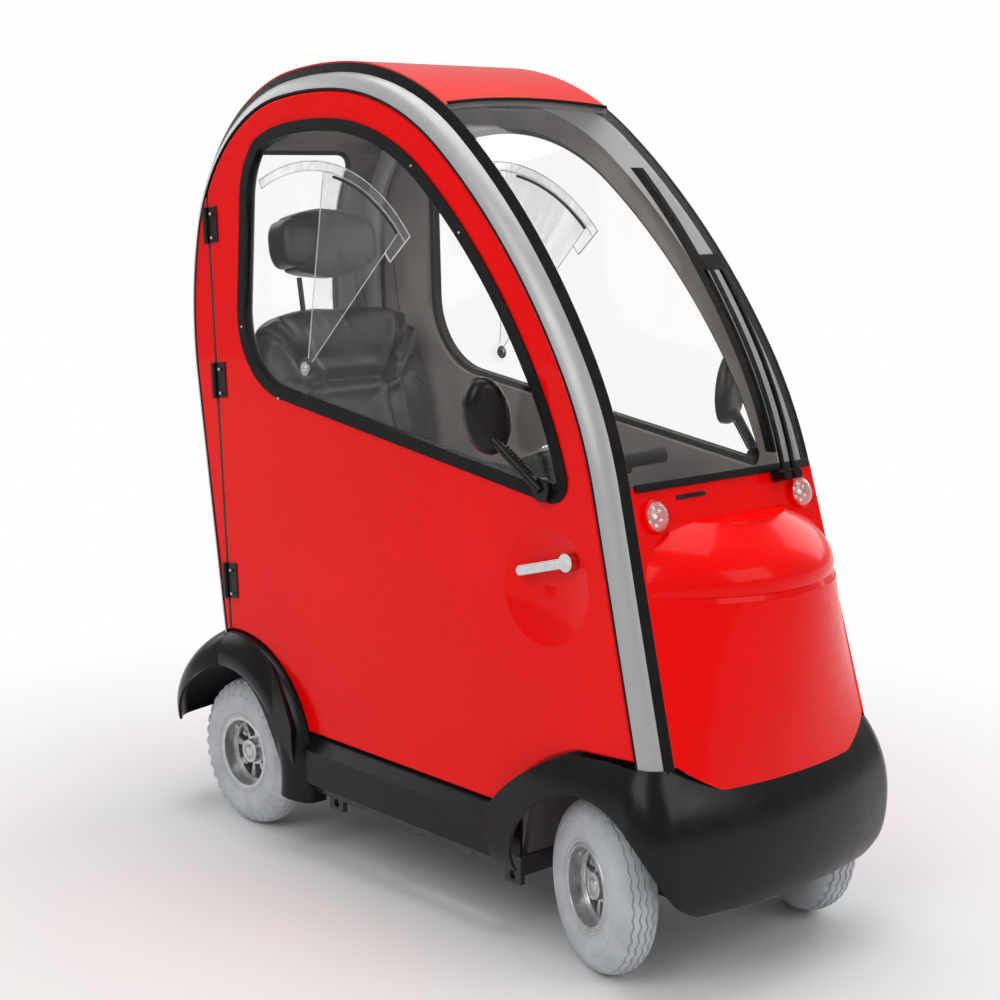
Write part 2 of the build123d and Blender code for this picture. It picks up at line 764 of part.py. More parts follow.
def rear_moulding():
    """Rear bumper and fenders in one piece, its tail cut off above the axle's height."""
    shell = mirror(skirt(REAR_SLICES, -REAR_AXLE_X), about=Plane.YZ)
    shell -= arch_cut(REAR_AXLE_X, REAR_ARCH_RADIUS)
    round_top = arch_cut(REAR_AXLE_X, DOOR_FENDER_RADIUS - DOOR_GAP)
    size = 1000
    behind = REAR_AXLE_X - size / 2
    tail = Pos(behind, 0, REAR_TAIL_BOTTOM + size / 2) * Box(size, size, size)
    below_tail = Pos(behind, 0, REAR_TAIL_BOTTOM - size / 2) * Box(size, size, size)
    return (shell & (round_top + tail)) - below_tail


def sill():
    """Side sill moulding, open below."""
    outer = Polyline(
        (-SILL_IN, SILL_BOTTOM),
        (-SILL_OUT + SILL_CHAMFER[0], SILL_BOTTOM),
        (-SILL_OUT, SILL_BOTTOM + SILL_CHAMFER[1]),
        (-SILL_OUT, SILL_TOP - SILL_SHOULDER),
        (-SILL_OUT + SILL_SHOULDER, SILL_TOP),
        (-SILL_IN, SILL_TOP),
        close=True,
    )
    solid = make_face(outer)
    hollow = offset(solid, -SILL_WALL)
    hollow = hollow + Pos(0, -SILL_WALL) * hollow
    start = Plane(origin=(REAR_SEAM_X, 0, 0), x_dir=(0, 1, 0), z_dir=(1, 0, 0))
    return extrude(start * (solid - hollow), FRONT_SEAM_X - REAR_SEAM_X)


def lug(x, y):
    """Tie-down lug on a cross member's end, with the sill against its top."""
    plate = Pos(x, y, LUG_TOP - LUG_HEIGHT / 2) * Box(LUG_WIDTH, LUG_THICKNESS, LUG_HEIGHT)
    return plate - Pos(x, y, LUG_BORE_HEIGHT) * Rot(90, 0, 0) * Cylinder(LUG_BORE, 2 * LUG_THICKNESS)


def chassis():
    """Ladder frame with tie-down lugs at the ends of two cross members."""
    middle = (RAIL_FRONT + RAIL_REAR) / 2
    height = RAIL_BOTTOM + RAIL_SIZE / 2
    cross_end = SILL_IN - LUG_THICKNESS
    rail = Box(RAIL_FRONT - RAIL_REAR, RAIL_SIZE, RAIL_SIZE)
    frame = [Pos(middle, y, height) * rail for y in (-RAIL_Y, RAIL_Y)]
    frame += [Pos(x, 0, height) * Box(RAIL_SIZE, 2 * cross_end, RAIL_SIZE) for x in CROSS_X]
    for x in (CROSS_X[0], CROSS_X[-1]):
        frame += [lug(x, y) for y in (-cross_end - LUG_THICKNESS / 2, cross_end + LUG_THICKNESS / 2)]
    joined = frame[0]
    for piece in frame[1:]:
        joined += piece
    return joined


def floor_pan():
    """Footwell floor with the toe board and dash shelf in one bent sheet."""
    low = RAIL_BOTTOM + RAIL_SIZE
    tx, tz = TOE_TOP
    dash = [
        (deck_x(height) - DECK_THICKNESS / cos(radians(FRONT_LEAN)), height)
        for height in (tz + DASH_RISE, tz + DASH_RISE + FLOOR_THICKNESS)
    ]
    sheet = make_face(Polyline(
        (FLOOR_REAR, low),
        (FLOOR_FRONT, low),
        (tx, tz - FLOOR_THICKNESS),
        *dash,
        (tx - FLOOR_THICKNESS, tz),
        (FLOOR_FRONT - FLOOR_THICKNESS, low + FLOOR_THICKNESS),
        (FLOOR_REAR, low + FLOOR_THICKNESS),
        close=True,
    ))
    pan = extrude(Plane.XZ * sheet, FLOOR_HALF_WIDTH, both=True)
    return pan - tiller_frame() * Cylinder(COLLAR_RADIUS, 2 * COLLAR_HEIGHT)


def seat_box():
    """Housing under the seat, hollow and open below."""
    low = RAIL_BOTTOM + RAIL_SIZE + FLOOR_THICKNESS
    size = (SEAT_BOX_FRONT - SEAT_BOX_REAR, 2 * SEAT_BOX_HALF_WIDTH, SEAT_BOX_TOP - low)
    inner = [length - 2 * SEAT_BOX_WALL for length in size[:2]] + [size[2]]
    shell = Box(*size) - Pos(0, 0, -SEAT_BOX_WALL) * Box(*inner)
    return Pos((SEAT_BOX_FRONT + SEAT_BOX_REAR) / 2, 0, (SEAT_BOX_TOP + low) / 2) * shell


def batteries():
    """Two battery blocks side by side on the floor in the seat box."""
    length, width, height = BATTERY
    low = RAIL_BOTTOM + RAIL_SIZE + FLOOR_THICKNESS
    x = SEAT_BOX_REAR + SEAT_BOX_WALL + BATTERY_GAP + length / 2
    block = Pos(x, 0, low + height / 2) * Box(length, width, height)
    return [Pos(0, side * (width + BATTERY_GAP) / 2, 0) * block for side in (-1, 1)]


def along_y(radius, low, high):
    """Cylinder along Y about the origin's Y axis."""
    return Pos(0, (low + high) / 2, 0) * Rot(90, 0, 0) * Cylinder(radius, high - low)


def transaxle():
    """Rear axle tube, gear case, motor and the shafts that carry the rear wheels."""
    tube = along_y(AXLE_TUBE_RADIUS, -AXLE_TUBE_END, AXLE_TUBE_END)
    shafts = along_y(SHAFT_RADIUS, -WHEEL_Y - HUB_OUT, WHEEL_Y + HUB_OUT)
    gears = along_y(GEAR_RADIUS, -GEAR_WIDTH / 2, GEAR_WIDTH / 2)
    motor = along_y(MOTOR_RADIUS, GEAR_WIDTH / 2 - 1, GEAR_WIDTH / 2 + MOTOR_LENGTH)
    case = Pos(REAR_AXLE_X, 0, TYRE_RADIUS) * (tube + shafts + gears + motor)
    top, low = TYRE_RADIUS, RAIL_BOTTOM + RAIL_SIZE
    for y in (-RAIL_Y, RAIL_Y):
        case += Pos(REAR_AXLE_X, y, (top + low) / 2) * Box(RAIL_SIZE, RAIL_SIZE, top - low)
    return case - rails_at(REAR_AXLE_X)


def rails_at(x):
    """The two frame rails near an axle, as a cutter."""
    rail = Box(WHEELBASE / 2, RAIL_SIZE, RAIL_SIZE)
    height = RAIL_BOTTOM + RAIL_SIZE / 2
    return Pos(x, -RAIL_Y, height) * rail + Pos(x, RAIL_Y, height) * rail


def front_axle():
    """Beam on the frame rails, with a yoke at each end for the kingpin."""
    end = KINGPIN_Y - YOKE_DEPTH
    axle = Box(BEAM_DEPTH, 2 * end, BEAM_HEIGHT)
    for side in (-1, 1):
        for level in (-1, 1):
            z = level * (YOKE_GAP + YOKE_EAR) / 2
            ear = Pos(0, side * KINGPIN_Y, z) * Cylinder(KINGPIN_EYE_RADIUS, YOKE_EAR)
            arm = Pos(0, side * (KINGPIN_Y + end - BEAM_DEPTH) / 2, z) * Box(
                2 * KINGPIN_EYE_RADIUS, KINGPIN_Y - end + BEAM_DEPTH, YOKE_EAR)
            hole = Pos(0, side * KINGPIN_Y, z) * Cylinder(KINGPIN_RADIUS + RUNNING_CLEARANCE, 2 * YOKE_EAR)
            axle = axle + ear + arm - hole
        wall = Box(2 * KINGPIN_EYE_RADIUS, YOKE_EAR, YOKE_GAP + 2 * YOKE_EAR)
        axle += Pos(0, side * (end - YOKE_EAR / 2), 0) * wall
    return Pos(FRONT_AXLE_X, 0, TYRE_RADIUS) * axle - rails_at(FRONT_AXLE_X)


def steered(piece, side):
    """A front corner's piece, drawn straight about its kingpin, turned to the parked angle."""
    return Pos(FRONT_AXLE_X, side * KINGPIN_Y, TYRE_RADIUS) * Rot(0, 0, STEER_REST) * piece


def knuckle(side):
    """Kingpin, stub shaft and steering arm, about the kingpin's middle."""
    pin = Cylinder(KINGPIN_RADIUS, YOKE_GAP + 2 * YOKE_EAR)
    block = Cylinder(KINGPIN_EYE_RADIUS, YOKE_GAP - 2 * JOINT_GAP)
    reach = WHEEL_Y - KINGPIN_Y
    stub = along_y(SHAFT_RADIUS, 0, reach + HUB_OUT)
    if side < 0:
        stub = mirror(stub, about=Plane.XZ)
    arm_z = YOKE_GAP / 2 - ARM_THICKNESS / 2 - JOINT_GAP
    arm = Pos(-STEERING_ARM / 2, 0, arm_z) * Box(STEERING_ARM, 2 * ARM_EYE_RADIUS, ARM_THICKNESS)
    eye = Pos(-STEERING_ARM, 0, arm_z) * Cylinder(ARM_EYE_RADIUS, ARM_THICKNESS)
    return steered(pin + block + stub + arm + eye, side)


def tie_rod():
    """Rod between the two steering arms, carried on their eyes."""
    arm_z = YOKE_GAP / 2 - JOINT_GAP
    turn = radians(STEER_REST)
    x = FRONT_AXLE_X - STEERING_ARM * cos(turn)
    shift = -STEERING_ARM * sin(turn)
    z = TYRE_RADIUS + arm_z + JOINT_GAP + TIE_ROD_RADIUS
    rod = Pos(x, shift, z) * along_y(TIE_ROD_RADIUS, -KINGPIN_Y, KINGPIN_Y)
    for side in (-1, 1):
        rod += Pos(x, shift + side * KINGPIN_Y, z) * Cylinder(ARM_EYE_RADIUS, 2 * TIE_ROD_RADIUS)
    return rod


def tyre():
    """Tyre about the Y axis, with round shoulders."""
    half = TYRE_WIDTH / 2
    bead_half = RIM_WIDTH / 2 - RIM_WALL
    crown = TYRE_RADIUS
    edge = crown - TREAD_DROP
    belly = (BEAD_RADIUS + TYRE_RADIUS) / 2 - BELLY_DROP
    section = make_face([
        Line((BEAD_RADIUS, -bead_half), (BEAD_RADIUS, bead_half)),
        ThreePointArc((BEAD_RADIUS, bead_half), (belly, half), (edge, TREAD_SHOULDER)),
        ThreePointArc((edge, TREAD_SHOULDER), (crown, 0), (edge, -TREAD_SHOULDER)),
        ThreePointArc((edge, -TREAD_SHOULDER), (belly, -half), (BEAD_RADIUS, -bead_half)),
    ])
    return revolve(section, Axis.Y)


def rim():
    """Dished rim: barrel with two flanges, hub and spokes, outer face towards -Y."""
    half = RIM_WIDTH / 2
    inner = BEAD_RADIUS - RIM_WALL
    barrel = along_y(BEAD_RADIUS, -half, half) - along_y(inner, -half - 1, half + 1)
    bore = along_y(SHAFT_RADIUS + RUNNING_CLEARANCE, -HUB_OUT - 1, HUB_IN + 1)
    hub = along_y(HUB_RADIUS, -HUB_OUT, HUB_IN) - bore
    web = along_y(inner + 1, -SPOKE_DEPTH / 2, SPOKE_DEPTH / 2)
    web -= along_y(HUB_RADIUS - 1, -SPOKE_DEPTH, SPOKE_DEPTH)
    gap = 360 / SPOKE_COUNT
    window = ring_sector(inner - RIM_WALL, HUB_RADIUS + RIM_WALL, 0, gap - SPOKE_ANGLE, 4 * SPOKE_DEPTH)
    for index in range(SPOKE_COUNT):
        web -= Rot(90, 0, 0) * Pos(0, 0, -2 * SPOKE_DEPTH) * Rot(0, 0, index * gap) * window
    return barrel + hub + web


def wheel_pieces(side, front):
    """Tyre and rim of one wheel, in place."""
    result = []
    for piece in (tyre(), rim()):
        if side > 0:
            piece = mirror(piece, about=Plane.XZ)
        if front:
            result.append(steered(Pos(0, side * (WHEEL_Y - KINGPIN_Y), 0) * piece, side))
        else:
            result.append(Pos(REAR_AXLE_X, side * WHEEL_Y, TYRE_RADIUS) * piece)
    return result


def soft_block(length, width, height, radius):
    """Plain padded block with every edge rounded."""
    block = Box(length, width, height)
    return fillet(block.edges(), radius)


def seat_frame():
    """Seat back's plane: origin at its foot, local z up the recline."""
    lean = radians(BACK_RECLINE)
    foot = (BACK_FRONT[0], 0, BACK_FRONT[1])
    return Plane(origin=foot, x_dir=(cos(lean), 0, sin(lean)), z_dir=(-sin(lean), 0, cos(lean)))


def seat_cushion():
    length = CUSHION_FRONT - CUSHION_REAR
    block = soft_block(length, 2 * CUSHION_HALF_WIDTH, CUSHION_THICKNESS, SEAT_ROUND)
    return Pos((CUSHION_FRONT + CUSHION_REAR) / 2, 0, SEAT_TOP - CUSHION_THICKNESS / 2) * block


def seat_back():
    block = soft_block(BACK_THICKNESS, 2 * CUSHION_HALF_WIDTH, BACK_HEIGHT, SEAT_ROUND)
    return seat_frame() * (Pos(-BACK_THICKNESS / 2, 0, BACK_HEIGHT / 2) * block)


def headrest():
    depth, width, height = HEADREST
    low = BACK_HEIGHT + HEADREST_RISE
    pad = soft_block(depth, width, height, SEAT_ROUND)
    return seat_frame() * (Pos(-BACK_THICKNESS / 2, 0, low + height / 2) * pad)


def headrest_posts():
    middle = BACK_HEIGHT + HEADREST_RISE / 2
    post = Pos(-BACK_THICKNESS / 2, 0, middle) * Cylinder(POST_RADIUS, HEADREST_RISE)
    return [seat_frame() * (Pos(0, y, 0) * post) for y in (-POST_Y, POST_Y)]


def armrests():
    """Pads whose back ends lie on the seat back's front face."""
    length, width, height = ARMREST
    slope = tan(radians(BACK_RECLINE))
    low = ARMREST_TOP - height
    front = BACK_FRONT[0] - (low - BACK_FRONT[1]) * slope + JOINT_GAP
    side_view = make_face(Polyline(
        (front, low),
        (front + length, low),
        (front + length, ARMREST_TOP),
        (front - height * slope, ARMREST_TOP),
        close=True,
    ))
    pad = extrude(Plane.XZ * side_view, width / 2, both=True)
    pad = fillet(pad.edges().filter_by(Axis.X), ARMREST_ROUND)
    return [Pos(0, side * ARMREST_Y, 0) * pad for side in (-1, 1)]


def seat_pedestal():
    """Swivel post and plate under the cushion, with two bars that carry the seat back."""
    low, high = SEAT_BOX_TOP, SEAT_TOP - CUSHION_THICKNESS
    middle = (CUSHION_FRONT + CUSHION_REAR) / 2
    plate_middle = high - SWIVEL_THICKNESS / 2
    frame = Pos(middle, 0, plate_middle) * Box(2 * SWIVEL_HALF, 2 * SWIVEL_HALF, SWIVEL_THICKNESS)
    post = high - SWIVEL_THICKNESS - low
    frame += Pos(middle, 0, low + post / 2) * Cylinder(PEDESTAL_RADIUS, post)
    lean = radians(BACK_RECLINE)
    drop = (BACK_FRONT[1] - plate_middle) / cos(lean) - BACK_THICKNESS * tan(lean)
    rear_x = seat_frame().from_local_coords(Vector(-BACK_THICKNESS - SWIVEL_THICKNESS, 0, -drop)).X
    for y in (-BACK_BAR_Y, BACK_BAR_Y):
        arm = Box(middle - rear_x, BACK_BAR_WIDTH, SWIVEL_THICKNESS)
        frame += Pos((middle + rear_x) / 2, y, plate_middle) * arm
        bar = Box(SWIVEL_THICKNESS, BACK_BAR_WIDTH, BACK_BAR_HEIGHT + drop)
        place = Pos(-BACK_THICKNESS - SWIVEL_THICKNESS / 2, y, (BACK_BAR_HEIGHT - drop) / 2)
        frame += seat_frame() * (place * bar)
    return frame


def tiller_frame():
    """Steering column's frame: origin where it passes the toe board, local z up the column."""
    low = RAIL_BOTTOM + RAIL_SIZE
    share = (TILLER_FOOT_HEIGHT - low) / (TOE_TOP[1] - low)
    x = FLOOR_FRONT + (TOE_TOP[0] - FLOOR_FRONT) * share - FLOOR_THICKNESS / 2
    lean = radians(TILLER_RAKE)
    foot = (x, 0, TILLER_FOOT_HEIGHT)
    return Plane(origin=foot, x_dir=(cos(lean), 0, sin(lean)), z_dir=(-sin(lean), 0, cos(lean)))


def on_tiller(piece):
    """A piece of the tiller, drawn straight, turned to the parked angle about the column."""
    return tiller_frame() * (Rot(0, 0, STEER_REST) * piece)


def tiller_column():
    """Column with the control head on top."""
    column = Pos(0, 0, -TILLER_TAIL) * Cylinder(
        TILLER_RADIUS, TILLER_LENGTH + TILLER_TAIL, align=(Align.CENTER, Align.CENTER, Align.MIN))
    head = Pos(0, 0, TILLER_LENGTH) * soft_block(*TILLER_HEAD, TILLER_HEAD_ROUND)
    return on_tiller(column + head)


def handlebar():
    """Handlebar's two ends, out of the control head's sides, with grips."""
    bars = []
    for side in (-1, 1):
        start = TILLER_HEAD[1] / 2
        bar = along_y(BAR_RADIUS, start, BAR_HALF_SPAN)
        bar += along_y(GRIP_RADIUS, BAR_HALF_SPAN - GRIP_LAP, BAR_HALF_SPAN - GRIP_LAP + GRIP_LENGTH)
        bar = bar if side > 0 else mirror(bar, about=Plane.XZ)
        bars.append(on_tiller(Pos(0, 0, TILLER_LENGTH) * bar))
    return bars


def tiller_collar():
    """Bearing cup in the toe board that carries the column."""
    cup = Cylinder(COLLAR_RADIUS, COLLAR_HEIGHT)
    return tiller_frame() * (cup - Cylinder(TILLER_RADIUS + RUNNING_CLEARANCE, 2 * COLLAR_HEIGHT))


def wiper():
    """Twin-rod arm and blade lying on the left half of the screen."""
    strips = []
    rod_out = WIPER_ROD_LIFT + WIPER_ROD
    blade_out = WIPER_LIFT + WIPER_BLADE_DEPTH
    bracket_high = WIPER_BLADE_HIGH - WIPER_BRACKET_DROP
    bracket_low = bracket_high - 2 * WIPER_BRACKET
    bracket_width = WIPER_ROD_FAR + WIPER_ROD + WIPER_BLADE_WIDTH
    for low, high, inner, outer, width, y in (
        (WIPER_BLADE_LOW, WIPER_BLADE_HIGH, WIPER_LIFT, blade_out, WIPER_BLADE_WIDTH, 0),
        (WIPER_FOOT_HEIGHT, bracket_high, WIPER_ROD_LIFT, rod_out, WIPER_ROD, WIPER_ROD_NEAR),
        (WIPER_FOOT_HEIGHT, bracket_high, WIPER_ROD_LIFT, rod_out, WIPER_ROD, WIPER_ROD_FAR),
        (bracket_low, bracket_high, blade_out / 2, rod_out, bracket_width, WIPER_ROD_FAR / 2),
    ):
        side_view = band(("nose", "screen"), TRIM_OUT + outer, TRIM_OUT + inner)
        strip = extrude(Plane.XZ * side_view, width / 2, both=True)
        strip &= Pos(0, 0, (low + high) / 2) * Box(CUT_REACH, CUT_REACH, high - low)
        strips.append(Pos(0, y, 0) * strip)
    for y in (WIPER_ROD_NEAR, WIPER_ROD_FAR):
        out = (cos(radians(FRONT_LEAN)), 0, sin(radians(FRONT_LEAN)))
        foot = Plane(origin=(deck_x(WIPER_FOOT_HEIGHT), y, WIPER_FOOT_HEIGHT), z_dir=out)
        height = WIPER_ROD_LIFT + 2 * WIPER_ROD
        cap = Cylinder(WIPER_CAP_RADIUS, height, align=(Align.CENTER, Align.CENTER, Align.MIN))
        strips.append(foot * cap)
    joined = strips[0]
    for strip in strips[1:]:
        joined += strip
    return Pos(0, WIPER_Y, 0) * joined


def build():
    """All pieces by node name."""
    nodes = {}
    nodes["chassis_frame"] = [chassis()]
    nodes["floor_pan"] = [floor_pan()]
    nodes["seat_box"] = [seat_box()]
    nodes["batteries"] = batteries()
    nodes["rear_axle"] = [transaxle()]
    nodes["front_axle"] = [front_axle()]
    nodes["front_bumper"] = [front_moulding()]
    nodes["rear_bumper"] = [rear_moulding()]
    nodes["side_sills"] = list(both_sides(sill()))
    nodes["side_hoops"] = list(both_sides(on_mouldings(right(hoop()))))
    nodes["hoop_trims"] = list(both_sides(on_mouldings(right(hoop_trim()))))
    nodes["windscreen"] = [windscreen()]
    nodes["roof_panel"] = [roof_panel()]
    tails = [tail_lamp(y) for y in (-TAIL_Y, TAIL_Y)]
    nodes["tail_lamps"] = tails
    nodes["rear_panel"] = [rear_panel() - tails[0] - tails[1]]
    nodes["rear_window"] = [rear_window()]
    lamps = [front_lamp(y) for y in (-LAMP_Y, LAMP_Y)]
    nodes["front_lamps"] = lamps
    nodes["nose_panel"] = [nose_panel() - lamps[0] - lamps[1]]
    nodes["wiper"] = [wiper()]
    nodes["rear_quarters"] = list(both_sides(right(quarter_strip())))
    fixed = [right(leaf) for leaf in hinge_leaves(False)]
    nodes["hinge_posts"] = fixed + [mirror(leaf, about=Plane.XZ) for leaf in fixed]
    nodes["seat_pedestal"] = [seat_pedestal()]
    nodes["seat_cushion"] = [seat_cushion()]
    nodes["seat_back"] = [seat_back()]
    nodes["headrest"] = [headrest()]
    nodes["headrest_posts"] = headrest_posts()
    nodes["armrests"] = armrests()
    nodes["tiller_collar"] = [tiller_collar()]
    nodes["tiller_column"] = [tiller_column()]
    nodes["handlebar"] = handlebar()
    nodes["tie_rod"] = [tie_rod()]
    door_pieces = {
        "door": [door_panel()],
        "window": [window_pane()],
        "window_rubber": [window_rubber()],
        "vent_pane": [vent_pane()],
        "handle": [door_handle()],
        "mirror": [mirror_arm()],
        "hinge_leaves": hinge_leaves(True),
    }
    for side, sign in (("right", -1), ("left", 1)):
        for name, pieces in door_pieces.items():
            nodes[f"{name}_{side}"] = [both_sides(right(piece))[(sign + 1) // 2] for piece in pieces]
        nodes[f"knuckle_{side}"] = [knuckle(sign)]
        for end, front in (("front", True), ("rear", False)):
            for kind, piece in zip(("tyre", "rim"), wheel_pieces(sign, front)):
                nodes[f"{kind}_{end}_{side}"] = [piece]
    return nodes


os.makedirs("parts", exist_ok=True)
for name, pieces in build().items():
    solids = [solid for piece in pieces for solid in piece.solids()]
    export_step(Compound(children=solids), f"parts/{name}.step")
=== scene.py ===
import bpy
import bmesh
import json
from math import atan2, cos, pi, radians, sin, sqrt
from mathutils import Matrix, Vector


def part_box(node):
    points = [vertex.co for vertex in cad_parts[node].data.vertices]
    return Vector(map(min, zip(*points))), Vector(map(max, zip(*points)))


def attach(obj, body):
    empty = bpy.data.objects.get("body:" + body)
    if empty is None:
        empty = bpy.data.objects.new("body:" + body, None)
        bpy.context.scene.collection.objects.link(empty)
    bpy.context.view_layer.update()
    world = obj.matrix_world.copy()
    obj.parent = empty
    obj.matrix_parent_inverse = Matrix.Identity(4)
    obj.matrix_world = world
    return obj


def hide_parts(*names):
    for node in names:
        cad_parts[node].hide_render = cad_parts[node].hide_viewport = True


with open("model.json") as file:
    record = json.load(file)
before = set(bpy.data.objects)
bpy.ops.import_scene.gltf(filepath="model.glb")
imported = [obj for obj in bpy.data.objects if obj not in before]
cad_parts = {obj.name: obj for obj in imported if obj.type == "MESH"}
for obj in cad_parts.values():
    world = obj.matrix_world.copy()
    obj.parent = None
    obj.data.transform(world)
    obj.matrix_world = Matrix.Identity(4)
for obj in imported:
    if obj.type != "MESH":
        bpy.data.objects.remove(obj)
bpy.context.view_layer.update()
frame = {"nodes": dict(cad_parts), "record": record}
nodes = frame["nodes"]
scene = bpy.context.scene

# Sizes shared with the solids, in metres
TYRE_RADIUS = 0.165
FRONT_AXLE_X = 0.580
REAR_AXLE_X = -0.5385
WHEEL_Y = 0.265
KINGPIN_Y = 0.200
STEER_REST = radians(-19.4)
SIDE_HALF_WIDTH = 0.328
SIDE_LEAN = radians(2.4)
FRONT_FOOT = (0.6844, 0.415)
FRONT_LEAN = radians(16.5)
HINGE_LOW = (-0.587, 0.555)
HINGE_SLOPE = 0.1344
HINGE_HEIGHTS = (0.555, 0.997, 1.336)

# Bodies of a pair of pieces, right and left
SHELL = ("body", "body")
DOORS = ("right_door", "left_door")

# The line of the door opening. Columns: radius (0 for a straight), turn in degrees or length
OPENING_LINE = (
    (0, 0.5056),
    (0.850, 15.5),
    (1.490, 21.0),
    (0.585, 36.5),
    (0.955, 10.5),
    (0.350, 70.5),
    (0.830, 22.5),
    (0, 0.582),
)
SWEEP_STEP = 0.012


# Modelling by hand

def deselect():
    """Leaves edit mode with nothing selected."""
    if bpy.context.object and bpy.context.object.mode != "OBJECT":
        bpy.ops.object.mode_set(mode="OBJECT")
    bpy.ops.object.select_all(action="DESELECT")


def named(name):
    """The new primitive, renamed."""
    piece = bpy.context.object
    piece.name = name
    piece.data.name = name
    return piece


def only(piece):
    """Makes a piece the one that operators act on."""
    deselect()
    piece.select_set(True)
    bpy.context.view_layer.objects.active = piece


def settle(piece):
    """Puts a piece's place into its mesh."""
    only(piece)
    bpy.ops.object.transform_apply(location=True, rotation=True, scale=True)
    return piece


def apply_modifiers(piece):
    only(piece)
    for modifier in list(piece.modifiers):
        bpy.ops.object.modifier_apply(modifier=modifier.name)
    return piece


def edit(piece):
    """Edit mode on one piece with nothing selected in it, as a bmesh."""
    only(piece)
    bpy.ops.object.mode_set(mode="EDIT")
    bpy.ops.mesh.select_mode(type="FACE")
    bpy.ops.mesh.select_all(action="DESELECT")
    return bmesh.from_edit_mesh(piece.data)


def done(piece):
    bmesh.update_edit_mesh(piece.data)
    bpy.ops.object.mode_set(mode="OBJECT")
    return piece


def faces_out(piece):
    """Merges doubles and turns every face outwards."""
    only(piece)
    bpy.ops.object.mode_set(mode="EDIT")
    bpy.ops.mesh.select_all(action="SELECT")
    bpy.ops.mesh.remove_doubles(threshold=1e-6)
    bpy.ops.mesh.normals_make_consistent(inside=False)
    bpy.ops.object.mode_set(mode="OBJECT")
    return piece


def smooth(piece, angle=35):
    only(piece)
    bpy.ops.object.shade_smooth_by_angle(angle=radians(angle))
    return piece


def bevelled(piece, width):
    modifier = piece.modifiers.new("round", "BEVEL")
    modifier.width = width
    modifier.segments = 2
    modifier.limit_method = "ANGLE"
    return smooth(apply_modifiers(piece))


def joined(name, pieces):
    """Several finished shapes as one piece."""
    deselect()
    for piece in pieces:
        piece.select_set(True)
    bpy.context.view_layer.objects.active = pieces[0]
    if len(pieces) > 1:
        bpy.ops.object.join()
    return named(name)


def copy_of(piece, name):
    """A copy with its own mesh."""
    only(piece)
    bpy.ops.object.duplicate(linked=False)
    return named(name)


def mirrored(piece, name):
    """The other side's copy of a piece."""
    other = copy_of(piece, name)
    other.scale = (1, -1, 1)
    settle(other)
    bpy.ops.object.mode_set(mode="EDIT")
    bpy.ops.mesh.select_all(action="SELECT")
    bpy.ops.mesh.flip_normals()
    bpy.ops.object.mode_set(mode="OBJECT")
    return other


def box_at(name, centre, size, turn=None):
    deselect()
    bpy.ops.mesh.primitive_cube_add(size=1, location=centre)
    piece = named(name)
    piece.scale = size
    settle(piece)
    if turn is not None:
        piece.data.transform(Matrix.Translation(centre) @ turn @ Matrix.Translation([-c for c in centre]))
    return piece


def stood(piece, centre, axis):
    """Moves a shape made upright at the origin to its centre and turns it to its axis."""
    turn = Vector((0, 0, 1)).rotation_difference(Vector(axis)).to_matrix().to_4x4()
    piece.data.transform(Matrix.Translation(centre) @ turn)
    return piece


def drum_at(name, centre, radius, depth, axis=(0, 0, 1), sides=32):
    """A capped cylinder about an axis."""
    deselect()
    bpy.ops.mesh.primitive_cylinder_add(vertices=sides, radius=radius, depth=depth)
    return stood(named(name), centre, axis)


def ring_at(name, centre, radius, tube, axis, sides, tube_sides):
    deselect()
    bpy.ops.mesh.primitive_torus_add(
        major_radius=radius, minor_radius=tube, major_segments=sides, minor_segments=tube_sides)
    return smooth(stood(named(name), centre, axis))


def turned(name, profile, centre, axis, steps):
    """A profile of (radius, height) points spun about an axis."""
    deselect()
    bpy.ops.mesh.primitive_plane_add(size=0.001)
    piece = named(name)
    mesh = edit(piece)
    bmesh.ops.delete(mesh, geom=mesh.verts[:], context="VERTS")
    chain = [mesh.verts.new((radius, 0, height)) for radius, height in profile]
    for a, b in zip(chain, chain[1:]):
        mesh.edges.new((a, b))
    bmesh.update_edit_mesh(piece.data)
    bpy.ops.mesh.select_mode(type="EDGE")
    bpy.ops.mesh.select_all(action="SELECT")
    bpy.ops.mesh.spin(steps=steps, angle=2 * pi, center=(0, 0, 0), axis=(0, 0, 1))
    return smooth(stood(faces_out(done(piece)), centre, axis))


def closed_section(name, places):
    """A filled outline through points, left in edit mode and ready to be swept."""
    deselect()
    bpy.ops.mesh.primitive_circle_add(vertices=len(places), radius=0.01, fill_type="NOTHING")
    piece = named(name)
    mesh = edit(piece)
    mesh.verts.ensure_lookup_table()
    for vertex, place in zip(mesh.verts, places):
        vertex.co = place
    bmesh.update_edit_mesh(piece.data)
    bpy.ops.mesh.select_mode(type="VERT")
    bpy.ops.mesh.select_all(action="SELECT")
    bpy.ops.mesh.edge_face_add()
    bpy.ops.mesh.select_mode(type="EDGE")
    return piece


def side_point(x, height, out=0.0):
    """World place of a point of the right side plane."""
    c, s = cos(SIDE_LEAN), sin(SIDE_LEAN)
    return Vector((x, -SIDE_HALF_WIDTH + height * s - out * c, height * c + out * s))


def side_normal():
    return Vector((0, -cos(SIDE_LEAN), sin(SIDE_LEAN)))


